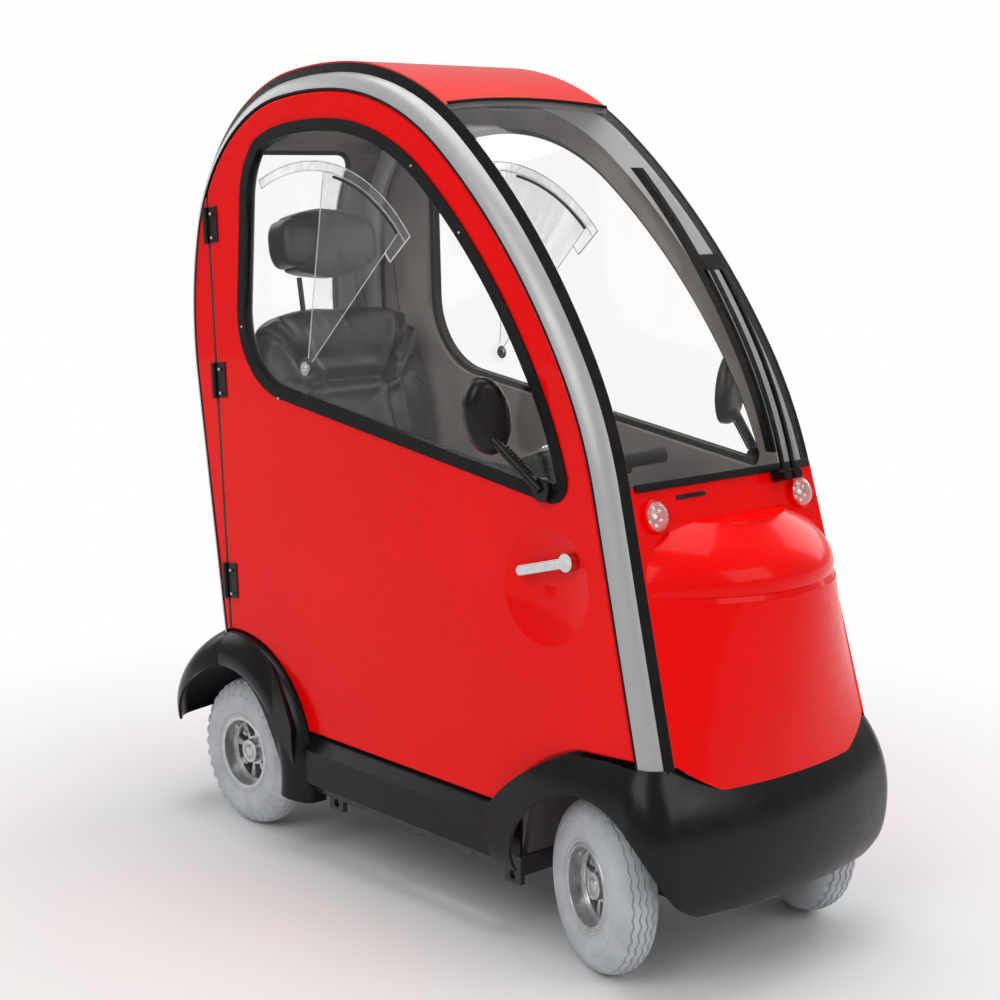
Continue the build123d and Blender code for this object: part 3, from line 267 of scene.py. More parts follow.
def carried(name, section):
    """A closed section of (out from the line, out from the plane) points, carried along the opening line."""
    x, height = FRONT_FOOT
    places = []
    for away, out in section:
        places.append(side_point(x + away * cos(FRONT_LEAN), height + away * sin(FRONT_LEAN), out))
    piece = closed_section(name, places)
    heading = pi / 2 + FRONT_LEAN
    for radius, amount in OPENING_LINE:
        if radius:
            turn = radians(amount)
            centre_x = x - radius * sin(heading)
            centre_height = height + radius * cos(heading)
            steps = max(3, int(radius * turn / SWEEP_STEP))
            centre = side_point(centre_x, centre_height)
            bpy.ops.mesh.spin(
                steps=steps, angle=-turn, center=centre, axis=side_normal(), use_auto_merge=False)
            x = centre_x + radius * sin(heading + turn)
            height = centre_height - radius * cos(heading + turn)
            heading += turn
        else:
            go_x = amount * cos(heading)
            go_height = amount * sin(heading)
            go = side_point(x + go_x, height + go_height) - side_point(x, height)
            bpy.ops.mesh.extrude_region_move(TRANSFORM_OT_translate={"value": go})
            x += go_x
            height += go_height
    return faces_out(done(piece))


# Finishes

def material(name, colour, roughness, metallic=0.0, **sockets):
    """A new material with one shader, its constant numbers set on its own sockets."""
    made = bpy.data.materials.new(name)
    made.use_nodes = True
    shader = made.node_tree.nodes["Principled BSDF"]
    shader.inputs["Base Color"].default_value = (*colour, 1)
    shader.inputs["Roughness"].default_value = roughness
    shader.inputs["Metallic"].default_value = metallic
    for socket, value in sockets.items():
        shader.inputs[socket.replace("_", " ")].default_value = value
    return made


def add_node(tree, kind, values):
    """A new shader node, each input set to a number or linked from an output."""
    node = tree.nodes.new(kind)
    for socket, value in values.items():
        if isinstance(value, bpy.types.NodeSocket):
            tree.links.new(value, node.inputs[socket])
        else:
            node.inputs[socket].default_value = value
    return node


def pattern(made, kind, scale, stretch=(1, 1, 1), **settings):
    """A texture on the piece's own place, in metres."""
    tree = made.node_tree
    place = tree.nodes.get("place") or tree.nodes.new("ShaderNodeTexCoord")
    place.name = "place"
    mapping = add_node(tree, "ShaderNodeMapping", {"Scale": stretch, "Vector": place.outputs["Object"]})
    return add_node(tree, kind, {"Scale": scale, "Vector": mapping.outputs["Vector"], **settings})


def noise(made, scale, detail, stretch=(1, 1, 1)):
    return pattern(made, "ShaderNodeTexNoise", scale, stretch, Detail=detail)


def cells(made, scale):
    return pattern(made, "ShaderNodeTexVoronoi", scale)


def first_value(texture):
    """The output that carries a texture's plain number."""
    return texture.outputs["Distance" if "Distance" in texture.outputs else "Fac"]


def mottle(made, texture, low, high, colours):
    """Colour that varies between two shades with a texture."""
    tree = made.node_tree
    ramp = add_node(tree, "ShaderNodeValToRGB", {"Fac": first_value(texture)})
    for element, position, colour in zip(ramp.color_ramp.elements, (low, high), colours):
        element.position = position
        element.color = (*colour, 1)
    tree.links.new(ramp.outputs["Color"], tree.nodes["Principled BSDF"].inputs["Base Color"])


def sheen_spread(made, texture, low, high):
    """Roughness that varies with a texture."""
    tree = made.node_tree
    spread = add_node(tree, "ShaderNodeMapRange", {
        "Value": first_value(texture), "From Min": 0.3, "From Max": 0.7, "To Min": low, "To Max": high})
    tree.links.new(spread.outputs["Result"], tree.nodes["Principled BSDF"].inputs["Roughness"])


def relief(made, texture, height, strength):
    """Bump of a real height, added on top of any bump before it."""
    tree = made.node_tree
    normal = tree.nodes["Principled BSDF"].inputs["Normal"]
    values = {"Height": first_value(texture), "Distance": height, "Strength": strength}
    if normal.links:
        values["Normal"] = normal.links[0].from_socket
    tree.links.new(add_node(tree, "ShaderNodeBump", values).outputs["Normal"], normal)


def shaders_mixed(tree, share, first, second, output):
    """Mixes a named node's shader with a second one by a share."""
    mix = add_node(tree, "ShaderNodeMixShader", {
        "Fac": share, 1: tree.nodes[first].outputs[0], 2: second.outputs[0]})
    tree.links.new(mix.outputs["Shader"], tree.nodes[output].inputs["Surface"])


def varied(name, colour, roughness, metallic, cloud, shades, sheen, grain, **sockets):
    """A material whose colour, sheen and surface vary.

    cloud is scale, detail, low and high of the mottle between two shades; sheen is scale, detail,
    smoothest and roughest; grain is scale, detail (0 for cells), height and strength.
    """
    made = material(name, colour, roughness, metallic, **sockets)
    mottle(made, noise(made, *cloud[:2]), *cloud[2:], shades)
    sheen_spread(made, noise(made, *sheen[:2]), *sheen[2:])
    scale, detail, height, strength = grain
    relief(made, noise(made, scale, detail) if detail else cells(made, scale), height, strength)
    return made


def gloss_red(name, colour, deep):
    """Gloss-coated red panel with a faint ripple in the coat."""
    return varied(
        name, colour, 0.30, 0.0, (3.0, 3.0, 0.3, 0.7), (deep, colour), (40.0, 4.0, 0.22, 0.34),
        (190.0, 2.0, 0.00005, 0.35),
        Coat_Weight=0.30, Coat_Roughness=0.04, Coat_IOR=1.35, Specular_IOR_Level=0.06)


def grained_black(name, shade, roughness, grain):
    """Moulded black plastic or enamel with a fine grain."""
    shades = ((shade * 0.75,) * 3, (shade * 1.35, shade * 1.35, shade * 1.4))
    return varied(
        name, (shade, shade, shade * 1.06), roughness, 0.0, (9.0, 4.0, 0.3, 0.75), shades,
        (30.0, 5.0, roughness - 0.06, roughness + 0.07), (grain, 0, 0.00008, 0.5), Specular_IOR_Level=0.24)


def clear_sheet(name, tint):
    """Clear acrylic: glass that lets plain shadow light through."""
    made = material(name, tint, 0.0, Transmission_Weight=1.0, IOR=1.004, Coat_Weight=0.5, Coat_IOR=1.4)
    sheen_spread(made, noise(made, 14.0, 5.0), 0.0, 0.02)
    tree = made.node_tree
    path = tree.nodes.new("ShaderNodeLightPath")
    open_air = add_node(tree, "ShaderNodeBsdfTransparent", {"Color": (*tint, 1)})
    shaders_mixed(tree, path.outputs["Is Shadow Ray"], "Principled BSDF", open_air, "Material Output")
    return made


def seat_leather():
    made = varied(
        "black seat leather", (0.016, 0.017, 0.018), 0.42, 0.0,
        (22.0, 6.0, 0.3, 0.7), ((0.007, 0.009, 0.009), (0.016, 0.019, 0.020)),
        (35.0, 5.0, 0.30, 0.44), (640.0, 0, 0.00003, 0.3),
        Specular_IOR_Level=0.32, Coat_Weight=0.06, Coat_Roughness=0.30)
    relief(made, noise(made, 26.0, 0.5), 0.0008, 0.3)
    return made


def bright_metal(name, colour, roughness, brush):
    """Bare metal, its brushing stretched along an axis."""
    made = material(name, colour, roughness, 1.0)
    brushed = noise(made, 60.0, 6.0, brush)
    mottle(made, brushed, 0.3, 0.7, (tuple(c * 0.8 for c in colour), colour))
    sheen_spread(made, brushed, roughness * 0.7, roughness * 1.5)
    relief(made, brushed, 0.00006, 0.25)
    return made


def lens_plastic(name, tint, roughness):
    """Moulded lens with fine ribs."""
    made = material(name, tint, roughness, Transmission_Weight=0.9, IOR=1.45)
    sheen_spread(made, noise(made, 60.0, 3.0), roughness * 0.5, roughness * 2)
    relief(made, pattern(made, "ShaderNodeTexWave", 55.0), 0.0006, 0.35)
    return made


FINISH = {
    "red_paint": gloss_red("gloss red panel", (0.92, 0.0015, 0.001), (0.85, 0.001, 0.001)),
    "silver_paint": varied(
        "satin silver", (0.42, 0.42, 0.43), 0.42, 0.25,
        (1400.0, 2.0, 0.35, 0.65), ((0.36, 0.36, 0.37), (0.47, 0.47, 0.48)),
        (25.0, 4.0, 0.30, 0.42), (420.0, 2.0, 0.00004, 0.4), Coat_Weight=0.25, Coat_Roughness=0.15),
    "black_plastic": grained_black("grained black moulding", 0.0050, 0.25, 900.0),
    "grey_plastic": varied(
        "grey cabin lining", (0.15, 0.13, 0.125), 0.6, 0.0,
        (12.0, 6.0, 0.3, 0.7), ((0.13, 0.112, 0.107), (0.18, 0.155, 0.148)),
        (30.0, 4.0, 0.52, 0.68), (620.0, 0, 0.0003, 0.5), Specular_IOR_Level=0.35),
    "black_rubber": varied(
        "seal rubber", (0.006, 0.006, 0.0065), 0.5, 0.0,
        (60.0, 4.0, 0.3, 0.7), ((0.004,) * 3, (0.009,) * 3),
        (90.0, 3.0, 0.42, 0.6), (700.0, 3.0, 0.0001, 0.4), Specular_IOR_Level=0.14),
    "black_steel": grained_black("black hinge enamel", 0.007, 0.30, 500.0),
    "frame_steel": varied(
        "black frame paint", (0.022, 0.022, 0.023), 0.42, 0.0,
        (14.0, 7.0, 0.3, 0.8), ((0.016,) * 3, (0.034, 0.033, 0.032)),
        (26.0, 5.0, 0.34, 0.56), (380.0, 4.0, 0.00015, 0.5),
        Specular_IOR_Level=0.5, Coat_Weight=0.2, Coat_Roughness=0.3),
    "bright_steel": bright_metal("bright steel", (0.55, 0.55, 0.54), 0.28, (1, 1, 14)),
    "clear_sheet": clear_sheet("clear acrylic sheet", (0.985, 0.992, 0.99)),
    "lamp_lens": lens_plastic("clear lamp lens", (0.98, 0.95, 0.93), 0.04),
    "red_lens": lens_plastic("red tail lens", (0.75, 0.01, 0.012), 0.08),
    "black_leather": seat_leather(),
    "chrome": bright_metal("polished chrome", (0.66, 0.67, 0.68), 0.06, (1, 1, 2)),
    "grey_tyre": varied(
        "grey tyre rubber", (0.50, 0.525, 0.545), 0.72, 0.0,
        (18.0, 6.0, 0.25, 0.75), ((0.43, 0.45, 0.47), (0.56, 0.585, 0.605)),
        (45.0, 4.0, 0.62, 0.82), (500.0, 4.0, 0.0003, 0.5), Specular_IOR_Level=0.35),
    "rim_alloy": varied(
        "silver cast rim", (0.60, 0.60, 0.60), 0.32, 0.85,
        (60.0, 6.0, 0.25, 0.75), ((0.48, 0.48, 0.47), (0.68, 0.68, 0.69)),
        (80.0, 5.0, 0.25, 0.45), (900.0, 3.0, 0.00012, 0.4)),
}
# The roof's red is a paler, pinker copy of the gloss red: painted light where the light falls on the roof's
# top.
ROOF_RED_PAINTED_LIGHT = gloss_red("roof red with painted sunlight", (0.80, 0.045, 0.038), (0.74, 0.034, 0.030))


def dress_solids():
    """Every carried-over solid gets its finish."""
    for row in frame["record"]["subparts"]:
        finish = FINISH[row["material_slot"]]
        # The roof panel takes the paler red copy, which is painted light on its top.
        if row["node"] == "roof_panel":
            finish = ROOF_RED_PAINTED_LIGHT
        if row["node"] == "headrest_posts":
            finish = FINISH["black_steel"]
        for slot in nodes[row["node"]].material_slots:
            slot.material = finish


def piece_of(piece, body, slot, finish=None):
    """A finished piece: its finish, taken from a record slot unless one is given, and the body that it rides
    on.
    """
    piece.data.materials.clear()
    piece.data.materials.append(finish or FINISH[slot])
    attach(piece, body)
    return piece


def pair_of(right, bodies, slot, finish=None):
    """A finished piece of the right side and its mirror image on the left."""
    piece_of(right, bodies[0], slot, finish)
    piece_of(mirrored(right, right.name.replace("right", "left")), bodies[1], slot, finish)


# Studio
FLOOR_SIZE = 30
FLOOR_FADE = (0.95, 2.3)
CAMERA_PLACE = (2.980, -2.755, 1.518)
CAMERA_YAW = radians(137.47)
CAMERA_PITCH = radians(-10.26)
CAMERA_ROLL = radians(0.58)
CAMERA_LENS = 70.72

# Lights. Columns: name, place, aim, size, power
SOFTBOXES = (
    ("key_softbox", (1.2, -3.6, 3.4), (0.0, 0.0, 0.7), 2.6, 60),
    ("front_softbox", (4.2, 0.8, 2.8), (0.2, 0.0, 0.7), 2.4, 42),
    ("top_softbox", (-0.4, 0.4, 4.6), (0.0, 0.0, 0.8), 3.4, 95),
    ("left_softbox", (0.0, 4.4, 2.6), (0.0, 0.0, 0.7), 2.6, 40),
    ("rear_softbox", (-4.2, -0.8, 2.6), (0.0, 0.0, 0.8), 2.4, 30),
)


def worked_out(tree, operation, first, second):
    """The result of an operation on two values, each a number or an output."""
    node = add_node(tree, "ShaderNodeMath", {0: first, 1: second})
    node.operation = operation
    return node.outputs[0]


def studio_floor():
    """A white floor that fades into the background, seen so by all but diffuse light."""
    deselect()
    bpy.ops.mesh.primitive_plane_add(size=FLOOR_SIZE, location=(0, 0, 0))
    floor = named("studio_floor")
    white = material("studio floor", (0.86, 0.855, 0.85), 0.85)
    mottle(white, noise(white, 0.8, 2.0), 0.3, 0.7, ((0.85, 0.845, 0.84), (0.87, 0.865, 0.862)))
    tree = white.node_tree
    reach = add_node(tree, "ShaderNodeVectorMath", {0: tree.nodes["place"].outputs["Object"]})
    reach.operation = "LENGTH"
    fade = add_node(tree, "ShaderNodeMapRange", {
        "Value": reach.outputs["Value"], "From Min": FLOOR_FADE[0], "From Max": FLOOR_FADE[1]})
    fade.interpolation_type = "SMOOTHSTEP"
    path = tree.nodes.new("ShaderNodeLightPath")
    direct = worked_out(tree, "SUBTRACT", 1.0, path.outputs["Is Diffuse Ray"])
    share = worked_out(tree, "MULTIPLY", fade.outputs["Result"], direct)
    glow = add_node(tree, "ShaderNodeEmission", {"Color": (1.0, 0.997, 0.993, 1)})
    shaders_mixed(tree, share, "Principled BSDF", glow, "Material Output")
    floor.data.materials.append(white)


def softboxes():
    for name, place, aim, size, power in SOFTBOXES:
        light = bpy.data.lights.new(name, "AREA")
        light.size = size
        light.energy = power
        lamp = bpy.data.objects.new(name, light)
        scene.collection.objects.link(lamp)
        lamp.location = place
        lamp.rotation_euler = (Vector(aim) - Vector(place)).to_track_quat("-Z", "Y").to_euler()


def studio_world():
    """White where the camera sees it, also through the windows, and dimmer as a light."""
    world = bpy.data.worlds.new("studio")
    scene.world = world
    world.use_nodes = True
    tree = world.node_tree
    soft = tree.nodes["Background"].inputs
    soft["Color"].default_value = (0.98, 0.985, 1.0, 1)
    soft["Strength"].default_value = 0.40
    bright = add_node(tree, "ShaderNodeBackground", {"Color": (1.0, 0.995, 0.99, 1), "Strength": 1.0})
    path = tree.nodes.new("ShaderNodeLightPath")
    seen = worked_out(tree, "MAXIMUM", path.outputs["Is Camera Ray"], path.outputs["Is Transmission Ray"])
    shaders_mixed(tree, seen, "Background", bright, "World Output")


def camera():
    """The camera at the fitted place, with the picture's slight roll."""
    data = bpy.data.cameras.new("photo_camera")
    data.lens = CAMERA_LENS
    data.sensor_width = 36
    data.clip_end = 100
    holder = bpy.data.objects.new("photo_camera", data)
    scene.collection.objects.link(holder)
    level_reach = cos(CAMERA_PITCH)
    look = Vector((cos(CAMERA_YAW) * level_reach, sin(CAMERA_YAW) * level_reach, sin(CAMERA_PITCH)))
    level = Vector((sin(CAMERA_YAW), -cos(CAMERA_YAW), 0))
    upright = level.cross(look)
    right = level * cos(CAMERA_ROLL) + upright * sin(CAMERA_ROLL)
    above = upright * cos(CAMERA_ROLL) - level * sin(CAMERA_ROLL)
    turn = Matrix((right, above, -look)).transposed().to_4x4()
    holder.matrix_world = Matrix.Translation(CAMERA_PLACE) @ turn
    scene.camera = holder


# Wheels
TREAD_HALF = 0.027
TREAD_DROP = 0.009
TREAD_SHOULDER = 0.030
GROOVE_DEPTH = 0.0042
GROOVE_HALF = 0.0014
GROOVE_PLACES = (-0.0195, -0.0065, 0.0065, 0.0195)
GROOVE_HALF_PITCH = 0.0065
# Columns: shift in half widths, share of the depth
GROOVE_SHAPE = ((-1.5, 0.0), (-0.9, 0.7), (-0.4, 1.0), (0.4, 1.0), (0.9, 0.7), (1.5, 0.0))
LUG_SLOPE = 1.6
LUG_DRAW = 0.35
TREAD_WAVES = 34
WAVE_REACH = 0.0021
TYRE_STEPS = TREAD_WAVES * 8

# One side wall from the bead to the shoulder. Columns: radius, reach from the middle
SIDE_WALL = (
    (0.0800, 0.0310),
    (0.0808, 0.0352),
    (0.0838, 0.0378),
    (0.0880, 0.0392),
    (0.0888, 0.0382),
    (0.0902, 0.0382),
    (0.0910, 0.0404),
    (0.0980, 0.0432),
    (0.1070, 0.0447),
    (0.1160, 0.0450),
    (0.1250, 0.0443),
    (0.1262, 0.0432),
    (0.1280, 0.0430),
    (0.1292, 0.0438),
    (0.1370, 0.0418),
    (0.1440, 0.0388),
    (0.1500, 0.0350),
    (0.1545, 0.0312),
    (0.1567, 0.0288),
)

# Turned rings of the rim. Columns: name, steps, profile of (radius, height)
RIM_RINGS = (
    ("lip", 72, (
        (0.0742, -0.0290), (0.0750, -0.0352), (0.0768, -0.0386), (0.0800, -0.0396), (0.0830, -0.0388),
        (0.0842, -0.0368), (0.0832, -0.0352), (0.0806, -0.0358), (0.0786, -0.0350), (0.0778, -0.0290),
        (0.0742, -0.0290))),
    ("dish", 72, (
        (0.0742, -0.0120), (0.0700, -0.0112), (0.0652, -0.0098), (0.0640, -0.0076), (0.0655, -0.0066),
        (0.0742, -0.0066), (0.0742, -0.0120))),
    ("cap", 40, (
        (0.0, -0.0262), (0.0080, -0.0260), (0.0128, -0.0248), (0.0150, -0.0224), (0.0156, -0.0196),
        (0.0, -0.0196))),
    ("hub", 48, (
        (0.0262, -0.0150), (0.0262, -0.0222), (0.0250, -0.0234), (0.0186, -0.0236), (0.0176, -0.0226),
        (0.0176, -0.0150), (0.0262, -0.0150))),
)
NUT_CIRCLE = 0.0468
VALVE_TURN = radians(110)
VALVE_RADIUS = 0.0700
VALVE_LEAN = 0.45


def crown(y):
    """Radius of the tread at a distance from the middle."""
    return TYRE_RADIUS - TREAD_DROP * (y / TREAD_SHOULDER) ** 2


def tread_section():
    """Grooved tread from one shoulder to the other."""
    section = [(crown(TREAD_HALF), -TREAD_HALF)]
    for middle in GROOVE_PLACES:
        for shift, depth in GROOVE_SHAPE:
            y = middle + shift * GROOVE_HALF
            section.append((crown(y) - depth * GROOVE_DEPTH, y))
        if middle < GROOVE_PLACES[-1]:
            between = middle + GROOVE_HALF_PITCH
            section.append((crown(between), between))
    section.append((crown(TREAD_HALF), TREAD_HALF))
    return section


def wheel_place(side, steered):
    """From a wheel's own frame, hub in the middle and outer face towards -Y, to its place."""
    outwards = Matrix.Rotation(pi if side > 0 else 0, 4, "Z")
    if not steered:
        return Matrix.Translation((REAR_AXLE_X, side * WHEEL_Y, TYRE_RADIUS)) @ outwards
    kingpin = Matrix.Translation((FRONT_AXLE_X, side * KINGPIN_Y, TYRE_RADIUS))
    reach = Matrix.Translation((0, side * (WHEEL_Y - KINGPIN_Y), 0))
    return kingpin @ Matrix.Rotation(STEER_REST, 4, "Z") @ reach @ outwards


def tyre(name, notch, lug_wall):
    """Tyre with wavy ribs, and shoulder lugs parted by notches of a depth."""
    wall = [(radius, -reach) for radius, reach in SIDE_WALL]
    other = [(radius, reach) for radius, reach in reversed(SIDE_WALL)]
    piece = turned(name, wall + tread_section() + other, (0, 0, 0), (0, 1, 0), TYRE_STEPS)
    for vertex in piece.data.vertices:
        x, y, z = vertex.co
        radius = sqrt(x * x + z * z)
        wave = TREAD_WAVES * atan2(z, x)
        if abs(y) < TREAD_HALF - 0.001:
            vertex.co.y = y + WAVE_REACH * sin(wave)
        elif radius > lug_wall:
            lift = sin(wave + (0.0 if y < 0 else pi))
            sink = notch * min(1.0, max(0.0, 0.5 - LUG_SLOPE * lift))
            vertex.co.x = x * (1 - sink / radius)
            vertex.co.z = z * (1 - sink / radius)
            vertex.co.y = y * (1 - LUG_DRAW * sink / abs(y))
    return smooth(piece, 42)


def rim_trim(name):
    """Bright lip, dished face ring, hub cap with its nuts, and the tyre valve."""
    shapes = [turned(ring, profile, (0, 0, 0), (0, 1, 0), steps) for ring, steps, profile in RIM_RINGS]
    for index in range(4):
        turn = radians(45 + 90 * index)
        x = NUT_CIRCLE * cos(turn)
        z = NUT_CIRCLE * sin(turn)
        shapes.append(bevelled(drum_at("nut", (x, -0.0092, z), 0.0052, 0.0066, (0, 1, 0), 6), 0.0006))
        shapes.append(drum_at("washer", (x, -0.0073, z), 0.0074, 0.0014, (0, 1, 0), 24))
    foot = Vector((VALVE_RADIUS * cos(VALVE_TURN), -0.0190, VALVE_RADIUS * sin(VALVE_TURN)))
    lean = Vector((-VALVE_LEAN * cos(VALVE_TURN), -1.0, -VALVE_LEAN * sin(VALVE_TURN))).normalized()
    shapes.append(drum_at("valve", foot + lean * 0.010, 0.0031, 0.024, lean, 16))
    shapes.append(drum_at("valve cap", foot + lean * 0.0205, 0.0041, 0.0078, lean, 12))
    return joined(name, shapes)


def wheels():
    tyres = {True: tyre("ribbed tyre", 0.0016, 0.146), False: tyre("lugged tyre", 0.0050, 0.1365)}
    trim = rim_trim("rim trim")
    for end, steered in (("front", True), ("rear", False)):
        for hand, side in (("right", -1), ("left", 1)):
            place = wheel_place(side, steered)
            corner = end + "_" + hand
            rubber = copy_of(tyres[steered], "tyre_" + corner + "_tread")
            rubber.data.transform(place)
            piece_of(rubber, corner + "_wheel", "grey_tyre")
            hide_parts("tyre_" + corner)
            metal = copy_of(trim, "rim_" + corner + "_trim")
            metal.data.transform(place)
            piece_of(metal, corner + "_wheel", "rim_alloy")
    for pattern_piece in (*tyres.values(), trim):
        bpy.data.objects.remove(pattern_piece)


# Seat. Its frame: origin at the foot of the back's front face, x forwards and z up the recline
RECLINE = radians(11)
SEAT_FRAME = Matrix((
    (cos(RECLINE), 0, -sin(RECLINE), -0.425),
    (0, 1, 0, 0),
    (sin(RECLINE), 0, cos(RECLINE), 0.540),
    (0, 0, 0, 1),
))
FLAT_FRAME = Matrix.Identity(4)
PAD_SWELL = 0.004
BUTTON_REACH = 0.019
BUTTON_DEPTH = 0.034
BUTTON_PIN = 0.009
BELL_BASE = 2.718
SHALLOW_FOLD = 0.0119
FOLD_LIMIT = 0.026
BACK_HALF_WIDTH = 0.238
BACK_HALF_HEIGHT = 0.3125
BACK_MARGIN = 0.10
BACK_FRONT = -0.055

# Buttons of the seat back. Columns: y, height up the back
BUTTONS = ((-0.108, 0.464), (0.108, 0.464), (-0.108, 0.205), (0.108, 0.205))

# Columns: radius, height
BUTTON_PROFILE = (
    (0.0, 0.0052), (0.0040, 0.0048), (0.0078, 0.0034), (0.0096, 0.0008), (0.0090, -0.0018), (0.0, -0.0022))

# Folds in the seat back. Columns: start y, start height, end y, end height, half width, depth
FOLDS = (
    (-0.108, 0.464, 0.108, 0.464, 0.011, 0.019),
    (-0.108, 0.205, 0.108, 0.205, 0.011, 0.009),
    (0.108, 0.464, 0.205, 0.600, 0.010, 0.018),
    (0.108, 0.464, 0.165, 0.612, 0.009, 0.014),
    (0.108, 0.464, 0.035, 0.400, 0.008, 0.006),
    (0.108, 0.464, 0.120, 0.330, 0.011, 0.014),
    (0.108, 0.464, 0.150, 0.372, 0.009, 0.005),
    (-0.108, 0.464, -0.205, 0.600, 0.010, 0.018),
    (-0.108, 0.464, -0.165, 0.612, 0.009, 0.014),
    (-0.108, 0.464, -0.120, 0.330, 0.011, 0.014),
    (-0.108, 0.464, -0.230, 0.440, 0.009, 0.006),
    (0.108, 0.464, 0.236, 0.430, 0.009, 0.005),
    (0.108, 0.205, 0.236, 0.180, 0.010, 0.007),
    (-0.108, 0.205, -0.236, 0.180, 0.010, 0.007),
    (0.000, 0.625, 0.004, 0.570, 0.006, 0.006),
    (-0.052, 0.625, -0.046, 0.560, 0.006, 0.007),
    (-0.090, 0.625, -0.080, 0.575, 0.006, 0.006),
    (0.060, 0.625, 0.066, 0.585, 0.006, 0.005),
)


def free_copy(node, name):
    """A node's mesh as a free piece, merged."""
    piece = copy_of(nodes[node], name)
    piece.parent = None
    piece.matrix_world = Matrix.Identity(4)
    piece.hide_render = False
    return faces_out(piece)


def bell(value):
    """One at zero, falling off on both sides."""
    return BELL_BASE ** (-value ** 2)


def middle_and_half(piece, axis):
    values = [vertex.co[axis] for vertex in piece.data.vertices]
    return (min(values) + max(values)) / 2, (max(values) - min(values)) / 2


def rounded_outline(piece, axes, power):
    """Draws the corners in so that the outline across two axes is a rounded oblong."""
    ends = [middle_and_half(piece, axis) for axis in axes]
    for vertex in piece.data.vertices:
        across = [abs(vertex.co[axis] - middle) / half for axis, (middle, half) in zip(axes, ends)]
        if max(across) > 0:
            draw = max(across) / sum(value ** power for value in across) ** (1 / power)
            for axis, (middle, _) in zip(axes, ends):
                vertex.co[axis] = middle + (vertex.co[axis] - middle) * draw


def shrunk(piece, amount):
    """Takes an amount off every face."""
    for axis in range(3):
        middle, half = middle_and_half(piece, axis)
        for vertex in piece.data.vertices:
            vertex.co[axis] = middle + (vertex.co[axis] - middle) * (1 - amount / half)


def remeshed(piece, voxel):
    modifier = piece.modifiers.new("even mesh", "REMESH")
    modifier.mode = "VOXEL"
    modifier.voxel_size = voxel
    return apply_modifiers(piece)


def press_buttons(piece, buttons):
    """Presses the front face in at each button and pins it there."""
    pins = piece.vertex_groups.new(name="pins")
    front = sum(vertex.co.x for vertex in piece.data.vertices) / len(piece.data.vertices)
    for vertex in piece.data.vertices:
        if vertex.co.x < front:
            continue
        near = min(sqrt((vertex.co.y - y) ** 2 + (vertex.co.z - z) ** 2) for y, z in buttons)
        if near < 3 * BUTTON_REACH:
            vertex.co.x -= BUTTON_DEPTH * bell(near / BUTTON_REACH)
        if near < BUTTON_PIN:
            pins.add([vertex.index], 1.0, "ADD")


def inflated(piece, pressure, cap, pinned):
    """Blows the pad up as cloth, with a cap on how far a point moves."""
    start = [vertex.co.copy() for vertex in piece.data.vertices]
    cloth = piece.modifiers.new("puff", "CLOTH")
    cloth.settings.use_pressure = True
    cloth.settings.uniform_pressure_force = pressure
    cloth.settings.effector_weights.gravity = 0
    cloth.settings.tension_stiffness = 12
    cloth.settings.compression_stiffness = 12
    cloth.settings.bending_stiffness = 0.4
    cloth.collision_settings.use_collision = False
    if pinned:
        cloth.settings.vertex_group_mass = "pins"
    for number in range(1, 21):
        scene.frame_set(number)
    apply_modifiers(piece)
    scene.frame_set(1)
    for vertex, before in zip(piece.data.vertices, start):
        moved = vertex.co - before
        if moved.length > cap:
            vertex.co = before + moved * (cap / moved.length)


def creased(piece, folds, front_side):
    """Draws valleys into the front face along each fold; shallow ones fade towards their end."""
    for vertex in piece.data.vertices:
        if vertex.co.x < front_side:
            continue
        sink = 0.0
        for y0, z0, y1, z1, half, depth in folds:
            along = Vector((y1 - y0, z1 - z0))
            to = Vector((vertex.co.y - y0, vertex.co.z - z0))
            share = to.dot(along) / along.length_squared
            if -0.08 < share < 1.08:
                gap = (to - along * share).length
                fade = max(0.0, 1 - 0.85 * max(0.0, share)) if depth < SHALLOW_FOLD else 1.0
                ridge = 0.45 * bell((gap - 2.3 * half) / (1.2 * half))
                sink += depth * fade * (bell(gap / half) - ridge)
        up = abs(vertex.co.z - BACK_HALF_HEIGHT) / BACK_HALF_HEIGHT
        edge = max(abs(vertex.co.y) / BACK_HALF_WIDTH, up)
        vertex.co.x -= min(sink, FOLD_LIMIT) * min(1.0, max(0.0, (1.0 - edge) / BACK_MARGIN))


def subdivided(piece):
    modifier = piece.modifiers.new("finer", "SUBSURF")
    modifier.levels = 1
    modifier.render_levels = 1
    return apply_modifiers(piece)


def pad(node, name, frame_of, voxel, shrink, pressure, cap, outline, power, buttons=()):
    """A stuffed piece in a solid's place."""
    piece = free_copy(node, name)
    piece.data.transform(frame_of.inverted())
    ends = []
    for axis in range(3):
        values = [vertex.co[axis] for vertex in piece.data.vertices]
        ends.append((min(values), max(values)))
    shrunk(piece, shrink)
    remeshed(piece, voxel)
    rounded_outline(piece, outline, power)
    if buttons:
        press_buttons(piece, buttons)
    inflated(piece, pressure, cap, bool(buttons))
    for axis, (low, high) in enumerate(ends):
        values = [vertex.co[axis] for vertex in piece.data.vertices]
        least = min(values)
        stretch = (high - low + 2 * PAD_SWELL) / (max(values) - least)
        for vertex, value in zip(piece.data.vertices, values):
            vertex.co[axis] = low - PAD_SWELL + (value - least) * stretch
    return piece


def seat_buttons(back):
    """A covered button in the bottom of each dimple."""
    buttons = []
    for y, height in BUTTONS:
        near = []
        for vertex in back.data.vertices:
            x, off_y, off_height = vertex.co.x, vertex.co.y - y, vertex.co.z - height
            if abs(off_y) < 0.006 and abs(off_height) < 0.006 and x > -0.08:
                near.append(x)
        buttons.append(turned("button", BUTTON_PROFILE, (max(near), y, height), (1, 0, 0), 28))
    return joined("seat_back_buttons", buttons)


